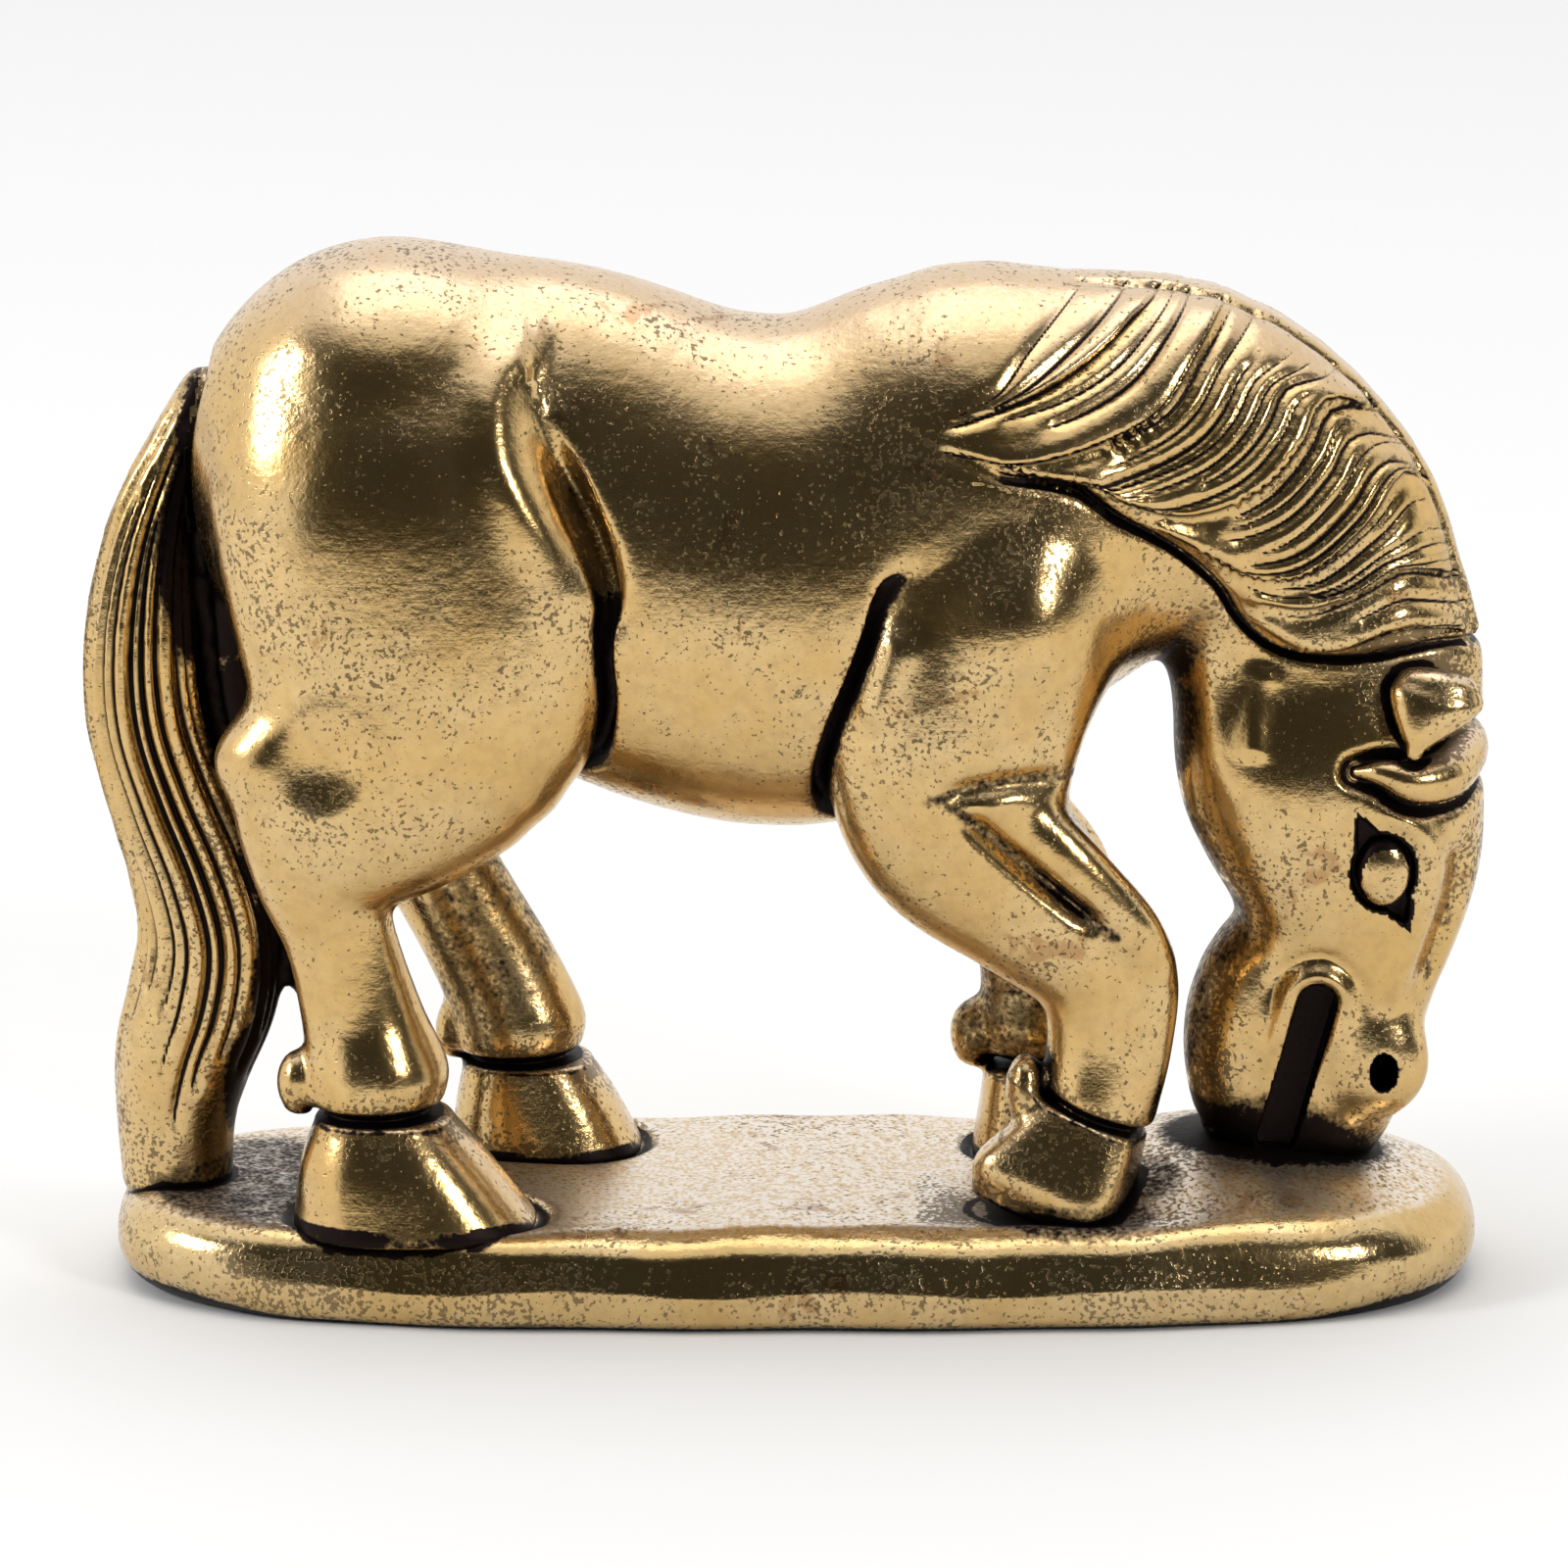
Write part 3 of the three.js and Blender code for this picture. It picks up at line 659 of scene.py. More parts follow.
# Plinth.
plinth = {
    "half": (21.45, 7.75), "middle": (0.35, 0.0), "squareness": 3.0,
    "height": 2.95, "rim": 1.42, "step": 0.14,
    "frontRim": 0.75, "bevel": 0.36, "bevelFrom": 1.3,  # the near edge is cut to a slope
    "mound": ((14.4, 0.2, 1.4), (6.9, 6.6, 3.1)),  # under the muzzle
    "moundBlend": 1.2,
    "grid": ((-21.6, 22.4), (-8.1, 8.2), (-0.35, 5.8)),
    "moat": 0.25,  # sunk ring round each hoof
}
plinthAxes = [np.arange(a, b, plinth["step"] * grid["coarser"]) for a, b in plinth["grid"]]


def sample(values, lines, points):
    corner, part = [], []
    for axis, line in enumerate(lines):
        i = np.clip(np.searchsorted(line, points[:, axis]) - 1, 0, len(line) - 2)
        corner.append(i)
        part.append(np.clip((points[:, axis] - line[i]) / (line[i + 1] - line[i]), 0, 1))
    total = np.zeros(len(points))
    for cx in (0, 1):
        for cy in (0, 1):
            for cz in (0, 1):
                weight = np.ones(len(points))
                for c, t in zip((cx, cy, cz), part):
                    weight = weight * (t if c else 1 - t)
                total += weight * values[corner[0] + cx, corner[1] + cy, corner[2] + cz]
    return total


def plinthDistance(lines):
    x, y, z = np.meshgrid(*[line.astype(np.float32) for line in lines], indexing="ij", sparse=True)
    (hx0, hy0), (mx, my), n = plinth["half"], plinth["middle"], plinth["squareness"]
    u, v = np.abs(x - mx) / hx0, np.abs(y - my) / hy0
    k0 = (u ** n + v ** n) ** (1 / n) + 1e-4
    slope = np.sqrt((u ** (n - 1) / hx0) ** 2 + (v ** (n - 1) / hy0) ** 2) / k0 ** (n - 1) + 1e-5
    wave = 0.1 * np.sin(0.55 * x + 0.8) + 0.06 * np.sin(1.3 * x - 0.5 * y)
    near = smooth(-y, 3.0, 6.0) * smooth(-np.abs(x - mx), -20.0, -15.0)
    rim = plinth["rim"] + (plinth["frontRim"] - plinth["rim"]) * near
    outline = (k0 - 1) / slope + rim + 0.05 * np.sin(0.9 * x + 1.0)
    aboveBevel = np.maximum(z - plinth["bevelFrom"] - 0.1 * np.sin(0.7 * x), 0)
    outline = outline + plinth["bevel"] * near * aboveBevel
    half = plinth["height"] / 2
    up = np.abs(z - half - wave * 0.5 * (z > half)) - half + rim
    for hoof in hooves.values():
        hoofX, hoofY, _, a, b = hoof["stations"][-1]
        if hoof["facing"][0] == 0:
            ring = (np.hypot((x - hoofX) / a, (y - hoofY) / b) - 1) * min(a, b) - 0.1
            sunk = plinth["moat"] * np.exp(-(ring / 0.22) ** 2) * (z > half)
            up = up + sunk * smooth(rim - outline, 0.2, 1.4)
    ledge = -0.18 * np.exp(-((y + 6.2) / 0.5) ** 2) * smooth(x, -9, -4) * smooth(-x, -18, -4)
    up = up + ledge * (z > half)
    outside = np.hypot(np.maximum(outline, 0), np.maximum(up, 0))
    slab = outside + np.minimum(np.maximum(outline, up), 0) - rim
    mound = ellipsoid(x, y, z, *plinth["mound"])
    return np.maximum(blendMin(slab, mound, plinth["moundBlend"]), -z)


plinthField = plinthDistance(plinthAxes)
report("plinth")

# Meshes: one closed surface for each casting, sharing its seam with its neighbours.
def surfaceNets(lines, values, labels):
    sizes = [len(line) - 1 for line in lines]
    strides = (sizes[1] * sizes[2], sizes[2], 1)
    quads, fronts, backs, crossings, edgeKinds = [], [], [], [], []
    for axis in range(3):
        low = [slice(None)] * 3
        high = [slice(None)] * 3
        low[axis], high[axis] = slice(0, -1), slice(1, None)
        changed = labels[tuple(low)] != labels[tuple(high)]
        for other in range(3):
            if other != axis:
                rim = [slice(None)] * 3
                for end in (0, -1):
                    rim[other] = end
                    changed[tuple(rim)] = False
        index = np.array(np.nonzero(changed))
        after = index.copy()
        after[axis] += 1
        first, second = labels[tuple(index)], labels[tuple(after)]
        fa, fb = values[tuple(index)], values[tuple(after)]
        skin = (first == 0) | (second == 0)
        t = np.where(skin, np.clip(fa / np.where(fa == fb, 1, fa - fb), 0.02, 0.98), 0.5)
        place = np.stack([line[i] for line, i in zip(lines, index)], -1)
        place[:, axis] += t * (lines[axis][after[axis]] - lines[axis][index[axis]])
        b, c = (axis + 1) % 3, (axis + 2) % 3
        base = sum(i * stride for i, stride in zip(index, strides))
        ring = np.stack([base, base - strides[b], base - strides[b] - strides[c], base - strides[c]], -1)
        quads.append(ring)
        fronts.append(first)
        backs.append(second)
        crossings.append(place)
        edgeKinds.append(skin)
    quads, fronts, backs = np.concatenate(quads), np.concatenate(fronts), np.concatenate(backs)
    crossings, skin = np.concatenate(crossings), np.concatenate(edgeKinds)
    cells, corner = np.unique(quads, return_inverse=True)
    corner = corner.reshape(quads.shape)
    points = np.zeros((len(cells), 3))
    onSkin = np.bincount(corner[skin].ravel(), minlength=len(cells))
    inWall = np.bincount(corner[~skin].ravel(), minlength=len(cells))
    for axis in range(3):
        outer = np.bincount(corner[skin].ravel(), np.repeat(crossings[skin, axis], 4), len(cells))
        inner = np.bincount(corner[~skin].ravel(), np.repeat(crossings[~skin, axis], 4), len(cells))
        points[:, axis] = np.where(onSkin > 0, outer / np.maximum(onSkin, 1),
                                   inner / np.maximum(inWall, 1))
    return points, onSkin > 0, corner, fronts, backs, skin


def gradient(values, lines, points, reach=0.07):
    slopes = []
    for axis in range(3):
        step = np.zeros(3)
        step[axis] = reach
        slopes.append(sample(values, lines, points + step) - sample(values, lines, points - step))
    return np.stack(slopes, -1) / (2 * reach)


def settle(values, lines, points, onSkin):
    skin = points[onSkin]
    for _ in range(2):
        slope = gradient(values, lines, skin)
        pull = sample(values, lines, skin) / np.maximum((slope ** 2).sum(1), 0.05)
        skin = skin - np.clip(pull, -0.08, 0.08)[:, None] * slope
    points[onSkin] = skin
    slope = gradient(values, lines, skin)
    normals = np.zeros_like(points)
    normals[onSkin] = slope / np.maximum(np.linalg.norm(slope, axis=1), 1e-6)[:, None]
    return points, normals


# How open the surface is to a polishing cloth: 0 in a tight corner and 1 on open metal.
def openness(points, normals):
    reaches = (0.35, 0.9, 2.2)
    opens = []
    for reach in reaches:
        there = points + normals * reach
        gap = np.minimum(sample(field, axes, there), sample(plinthAround, axes, there))
        opens.append(np.clip(gap / reach, 0, 1))
    return opens


patinaAndPaintedShade = [  # dark places, partly patina the cloth never reaches and partly painted shade: centre, reach, strength
    # painted shade: a dark crevice under the muzzle and shadow beside the near fore hoof
    ((15.5, 0.0, 4.3), (4.6, 3.7, 3.4), 1.0),
    ((11.8, -2.6, 3.2), (1.7, 2.6, 1.3), 0.6),
    ((-9.5, 3.4, 15.0), (3.4, 2.6, 3.5), 0.55), ((-9.3, 3.2, 10.0), (2.8, 2.6, 5.5), 0.5),
    ((6.9, 2.4, 10.0), (3.2, 2.4, 5.5), 0.55),
    # painted shadow on the plinth round the near hooves
    ((-16.5, -0.5, 3.1), (5.0, 6.5, 1.2), 0.6), ((9.0, -5.0, 3.1), (3.6, 3.0, 0.9), 0.6),
]
patinaAndPaintedShade += [((x, 0.0, z), (1.75, 2.9, 3.4), 1.0) for x, _, z, *_ in tail["web"]]
patinaAndPaintedShade += [((-16.9, 0.0, 6.8), (1.5, 2.9, 3.4), 0.9), ((-18.0, -1.0, 23.2), (1.9, 3.2, 4.6), 0.9)]
# painted shade down the throat, standing in for the dark the polish mirrors between the legs
patinaAndPaintedShade += [((x, 0.0, z), (1.6, 2.8, 3.0), strength) for x, z, strength in (
    (12.4, 21.0, 0.85), (12.7, 18.0, 0.7), (13.4, 14.5, 0.6), (14.0, 11.5, 0.6), (12.7, 8.5, 0.6))]


# Side-view distance from scattered points to an open line.
def lineGap(x, z, points):
    gap = np.full(len(x), 1e3)
    line = catmullRom(points, 4)
    for a, b in zip(line, line[1:]):
        gap = np.minimum(gap, toStretch(x, z, a, b)[1])
    return gap


# How dark each point is left: patina in hollows, and shade painted into creases, holes and the gaps round
# the hooves.
def patinaAndPaintedShadeOn(points):
    dark = np.zeros(len(points))
    for centre, reach, strength in patinaAndPaintedShade:
        gap = np.linalg.norm((points - centre) / reach, axis=1)
        dark = np.maximum(dark, strength * smooth(1 - gap, 0.0, 0.4))
    x, y, z = points.T
    # painted shade along the elbow crease and the groove down the forearm
    for line, _, _, _ in foreLines[1:]:
        for side, shift in ((right, 0.0), (left, legJoint["farShift"])):
            gap = lineGap(x + shift, z, line)
            dark = np.where(side * y > 3.6, np.maximum(dark, 0.6 * smooth(-gap, -0.42, -0.05)), dark)
    # mouth, nostrils and eye pits painted solid black: patina and painted shade in the holes
    inMouth = toStretch(x, z, mouth["top"], mouth["bottom"])[1] < mouth["half"] + 0.06
    inNostril = np.hypot((x - nostril["place"][0]) / 0.46, (z - nostril["place"][2] + 0.1) / 0.66) < 1
    inEye = eyeOutline(x, z, eye) < 0.1
    # painted shade in the gap round the foot of each hoof
    for hoof in hooves.values():
        hoofX, hoofY, _, a, b = hoof["stations"][-1]
        ring = np.abs((np.hypot((x - hoofX) / a, (y - hoofY) / b) - 1) * min(a, b) - 0.1)
        atFoot = (z > 2.5) & (z < 3.15)
        dark = np.where(atFoot, np.maximum(dark, 0.9 * smooth(-ring, -0.28, -0.05)), dark)
    return np.where((inMouth | inNostril | inEye) & (np.abs(y) > 1.2), 1.0, dark)


def buildMesh(name, points, normals, opens, faces, isWall):
    used, local = np.unique(faces, return_inverse=True)
    faces = local.reshape(faces.shape)
    mesh = bpy.data.meshes.new(name)
    world = points[used] * scale + np.array(offset)
    mesh.from_pydata(world.tolist(), [], faces.tolist())
    mesh.polygons.foreach_set("use_smooth", np.ones(len(faces), bool))
    for key, values in zip(("fine", "middle", "wide", "patinaAndPaintedShade"), opens):
        stored = mesh.attributes.new(key, "FLOAT", "POINT")
        stored.data.foreach_set("value", values[used].astype(np.float32))
    skinNormals = mesh.attributes.new("skin", "FLOAT_VECTOR", "POINT")
    skinNormals.data.foreach_set("vector", normals[used].astype(np.float32).ravel())
    mesh.attributes.new("wall", "BOOLEAN", "FACE").data.foreach_set("value", isWall)
    loops = normals[used][faces]
    loops[isWall] = 0
    mesh.normals_split_custom_set(loops.reshape(-1, 3).tolist())
    mesh.validate()
    return placed(name, mesh)


plinthAround = plinthDistance(axes)
label[field > 0] = 0
label[(field <= 0) & (label == 0)] = castings.index("trunk")
castings.append("croup")  # the trunk is one casting, meshed in two parts
croupEnd = -5.5
label[(label == castings.index("trunk")) & (axes[0] < croupEnd)[:, None, None]] = castings.index("croup")
report("labels")
points, onSkin, corner, fronts, backs, skin = surfaceNets(axes, field, label)
report(f"surface {len(points)} points")
points, normals = settle(field, axes, points, onSkin)
opens = [np.ones(len(points)) for _ in range(3)] + [patinaAndPaintedShadeOn(points)]
for whole, part in zip(opens[:3], openness(points[onSkin], normals[onSkin])):
    whole[onSkin] = part
report("openness")
pieces = {}
for index, name in enumerate(castings[1:], 1):
    faces = np.concatenate([corner[fronts == index], corner[backs == index][:, ::-1]])
    isWall = ~np.concatenate([skin[fronts == index], skin[backs == index]])
    if name.endswith("_eye"):
        opens[3] = np.zeros(len(points))
    if len(faces):
        pieces[name] = buildMesh(f"{name}_cast", points, normals, opens, faces, isWall)
        print(name, len(faces) * 2)
plinthLabel = (plinthField <= 0).astype(np.uint8)
points, onSkin, corner, fronts, backs, _ = surfaceNets(plinthAxes, plinthField, plinthLabel)
points, normals = settle(plinthField, plinthAxes, points, onSkin)
opens = openness(points, normals) + [patinaAndPaintedShadeOn(points)]
faces = np.concatenate([corner[fronts == 1], corner[backs == 1][:, ::-1]])
pieces["plinth"] = buildMesh("plinth_cast", points, normals, opens, faces, np.zeros(len(faces), bool))
print("plinth", len(faces) * 2)
report("meshes")

# Engraving: strokes cut along the mane and the tail by a node tree.
def resampled(points, count):
    line = catmullRom(points, 8)
    length = np.concatenate([[0], np.cumsum(np.linalg.norm(np.diff(line, axis=0), axis=1))])
    places = np.linspace(0, length[-1], count)
    return np.stack([np.interp(places, length, line[:, k]) for k in range(line.shape[1])], -1)


tailStrokes = {"count": 23, "sway": 0.35, "turns": 0.12, "seed": 11}


def strokeObject(name, strokes):
    vertices, edges, sizes = [], [], []
    for points, size in strokes:
        start = len(vertices)
        vertices += [list(toWorld(p)) for p in points]
        edges += [(start + i, start + i + 1) for i in range(len(points) - 1)]
        sizes += list(size)
    mesh = bpy.data.meshes.new(name)
    mesh.from_pydata(vertices, edges, [])
    mesh.attributes.new("size", "FLOAT", "POINT").data.foreach_set("value", sizes)
    return placed(name, mesh)


def taper(count, size, sharp=0.45):
    return size * np.sin(np.linspace(0.04, math.pi - 0.04, count)) ** sharp


def drawManeStrokes():
    draw = random.Random(mane["seed"])
    count = 28
    locks = [resampled(lock, count) for lock in mane["locks"]]
    for lock in locks:
        start = lock[0] - lock[1]
        lock[0] += start / np.linalg.norm(start) * 0.4
    strokes = []
    for lock in locks[1:]:
        strokes.append((np.insert(lock, 1, 0, 1), taper(count, 1.0, 0.3)))
    for upper, lower, number in zip(locks, locks[1:], mane["between"]):
        for i in range(number):
            f = (i + 0.5 + draw.uniform(-0.25, 0.25)) / number
            line = upper * (1 - f) + lower * f
            first = draw.choice((0, 0, 1, 2, 4))
            end = draw.randint(int(count * 0.55), count)
            bend = mane["wander"] * np.sin(np.linspace(0, 5, count) + draw.uniform(0, 6))
            line = line + bend[:, None] * np.array((0.5, 0.8))
            piece = line[first:end]
            strokes.append((np.insert(piece, 1, 0, 1), taper(len(piece), draw.uniform(0.5, 0.85), 0.3)))
    return strokeObject("mane_strokes", strokes)


def drawTailStrokes():
    draw = random.Random(tailStrokes["seed"])
    line = resampled(tail["stations"], 60)
    tangents = np.gradient(line[:, :3], axis=0)
    tangents /= np.linalg.norm(tangents, axis=1)[:, None]
    deep = np.cross((0, 1, 0), tangents)
    deep /= np.linalg.norm(deep, axis=1)[:, None]
    wide = np.cross(tangents, deep)
    down = np.linspace(0, 1, 60)
    strokes = []
    for i in range(tailStrokes["count"]):
        start = (i + draw.uniform(-0.3, 0.3)) / tailStrokes["count"] * 2 * math.pi
        first, end = draw.randint(2, 10), draw.randint(46, 57)
        sway = tailStrokes["sway"] * np.sin(down * 4.5 + 0.6)
        angle = start + sway + tailStrokes["turns"] * 2 * math.pi * down
        points = (line[:, :3] + deep * (line[:, 3] * np.cos(angle))[:, None]
                  + wide * (line[:, 4] * np.sin(angle))[:, None])[first:end]
        for _ in range(3):
            slope = gradient(field, axes, points)
            pull = sample(field, axes, points) / np.maximum((slope ** 2).sum(1), 0.1)
            points = points - np.clip(pull, -0.3, 0.3)[:, None] * slope
        strokes.append((points, taper(len(points), draw.uniform(0.75, 1.1), 0.3)))
    return strokeObject("tail_strokes", strokes)


def nodeTools(tree):
    def put(socket, value):
        if isinstance(value, bpy.types.NodeSocket):
            tree.links.new(value, socket)
        else:
            socket.default_value = value

    def calc(kind, *values, clamp=False):
        made = tree.nodes.new("ShaderNodeMath")
        made.operation = kind
        made.use_clamp = clamp
        for socket, value in zip(made.inputs, values):
            put(socket, value)
        return made.outputs[0]

    def ranged(value, low, high, start=0.0, end=1.0):
        made = tree.nodes.new("ShaderNodeMapRange")
        made.interpolation_type = "SMOOTHSTEP"
        for key, number in (("Value", value), ("From Min", low), ("From Max", high),
                            ("To Min", start), ("To Max", end)):
            put(made.inputs[key], number)
        return made.outputs[0]

    return put, calc, ranged


def engraver():
    tree = bpy.data.node_groups.new("engrave_strokes", "GeometryNodeTree")
    sockets = {}
    for title, kind in (("Geometry", "NodeSocketGeometry"), ("Strokes", "NodeSocketObject"),
                         ("Flatten", "NodeSocketVector"), ("Cut Width", "NodeSocketFloat"),
                         ("Cut Depth", "NodeSocketFloat"), ("Swell Width", "NodeSocketFloat"),
                         ("Swell Depth", "NodeSocketFloat"), ("Sideways Only", "NodeSocketFloat"),
                         ("Level", "NodeSocketInt"), ("Material", "NodeSocketMaterial")):
        sockets[title] = tree.interface.new_socket(title, in_out="INPUT", socket_type=kind).identifier
    tree.interface.new_socket("Geometry", in_out="OUTPUT", socket_type="NodeSocketGeometry")
    given = tree.nodes.new("NodeGroupInput")
    result = tree.nodes.new("NodeGroupOutput")

    def node(kind, **settings):
        made = tree.nodes.new(kind)
        for key, value in settings.items():
            setattr(made, key, value)
        return made

    def link(a, b):
        tree.links.new(a, b)

    _, calc, ranged = nodeTools(tree)

    finer = node("GeometryNodeSubdivideMesh")
    link(given.outputs["Geometry"], finer.inputs["Mesh"])
    link(given.outputs["Level"], finer.inputs["Level"])
    drawn = node("GeometryNodeObjectInfo")
    link(given.outputs["Strokes"], drawn.inputs["Object"])
    flat = node("ShaderNodeVectorMath", operation="MULTIPLY")
    link(node("GeometryNodeInputPosition").outputs[0], flat.inputs[0])
    link(given.outputs["Flatten"], flat.inputs[1])
    near = node("GeometryNodeProximity", target_element="EDGES")
    link(drawn.outputs["Geometry"], near.inputs["Geometry"])
    link(flat.outputs[0], near.inputs["Sample Position"])
    closest = node("GeometryNodeSampleNearest")
    link(drawn.outputs["Geometry"], closest.inputs["Geometry"])
    link(near.outputs["Position"], closest.inputs["Sample Position"])
    size = node("GeometryNodeInputNamedAttribute", data_type="FLOAT")
    size.inputs["Name"].default_value = "size"
    picked = node("GeometryNodeSampleIndex", data_type="FLOAT")
    link(drawn.outputs["Geometry"], picked.inputs["Geometry"])
    link(size.outputs["Attribute"], picked.inputs["Value"])
    link(closest.outputs["Index"], picked.inputs["Index"])
    cutWidth = calc("MULTIPLY", given.outputs["Cut Width"], picked.outputs[0])
    cut = ranged(near.outputs["Distance"], 0.0, cutWidth, 1.0, 0.0)
    swell = ranged(near.outputs["Distance"], 0.0, given.outputs["Swell Width"], 1.0, 0.0)
    depth = calc("ADD", calc("MULTIPLY", cut, given.outputs["Cut Depth"]),
                 calc("MULTIPLY", swell, given.outputs["Swell Depth"]))
    outward = node("GeometryNodeInputNamedAttribute", data_type="FLOAT_VECTOR")
    outward.inputs["Name"].default_value = "skin"
    parts = node("ShaderNodeSeparateXYZ")
    link(outward.outputs["Attribute"], parts.inputs[0])
    upright = calc("SUBTRACT", 1.0, calc("ABSOLUTE", parts.outputs["Y"], 0.0))
    kept = calc("SUBTRACT", 1.0, calc("MULTIPLY", upright, given.outputs["Sideways Only"]))
    depth = calc("MULTIPLY", calc("MULTIPLY", depth, picked.outputs[0]), kept)
    inward = node("ShaderNodeVectorMath", operation="SCALE")
    link(outward.outputs["Attribute"], inward.inputs[0])
    link(calc("MULTIPLY", depth, -1.0), inward.inputs["Scale"])
    # how strongly each point is cut, stored for the patina before anything moves
    stored = node("GeometryNodeStoreNamedAttribute", data_type="FLOAT", domain="POINT")
    stored.inputs["Name"].default_value = "cut"
    link(finer.outputs["Mesh"], stored.inputs["Geometry"])
    link(calc("MULTIPLY", cut, calc("POWER", kept, 0.5)), stored.inputs["Value"])
    moved = node("GeometryNodeSetPosition")
    link(stored.outputs["Geometry"], moved.inputs["Geometry"])
    link(inward.outputs[0], moved.inputs["Offset"])
    real = node("GeometryNodeRealizeInstances")
    link(moved.outputs["Geometry"], real.inputs["Geometry"])
    coat = node("GeometryNodeSetMaterial")
    link(real.outputs["Geometry"], coat.inputs["Geometry"])
    link(given.outputs["Material"], coat.inputs["Material"])
    link(coat.outputs["Geometry"], result.inputs["Geometry"])
    return tree, sockets


# Shades the cut metal by its new shape, leaving out the walls shared with the neighbours.
def reshade(mesh):
    places = np.empty(len(mesh.vertices) * 3)
    mesh.vertices.foreach_get("co", places)
    places = places.reshape(-1, 3)
    corners = np.empty(len(mesh.loops), int)
    mesh.loops.foreach_get("vertex_index", corners)
    corners = corners.reshape(-1, 4)
    isWall = np.empty(len(mesh.polygons), bool)
    mesh.attributes["wall"].data.foreach_get("value", isWall)
    facings = np.cross(places[corners[:, 2]] - places[corners[:, 0]],
                       places[corners[:, 3]] - places[corners[:, 1]])
    facings[isWall] = 0
    for _ in range(3):
        normals = np.stack([np.bincount(corners.ravel(), np.repeat(facings[:, k], 4), len(places))
                            for k in range(3)], -1)
        normals /= np.maximum(np.linalg.norm(normals, axis=1), 1e-20)[:, None]
        facings = normals[corners].sum(1)
        facings[isWall] = 0
    loops = normals[corners]
    loops[isWall] = 0
    mesh.normals_split_custom_set(loops.reshape(-1, 3).tolist())


def engrave(piece, tree, sockets, values):
    modifier = piece.modifiers.new("engraving", "NODES")
    modifier.node_group = tree
    for key, value in values.items():
        modifier[sockets[key]] = value
    evaluated = piece.evaluated_get(bpy.context.evaluated_depsgraph_get())
    cutMesh = bpy.data.meshes.new_from_object(evaluated)
    piece.modifiers.clear()
    reshade(cutMesh)
    piece.data = cutMesh
    print(piece.name, "engraved,", sum(len(p.vertices) - 2 for p in cutMesh.polygons), "triangles")


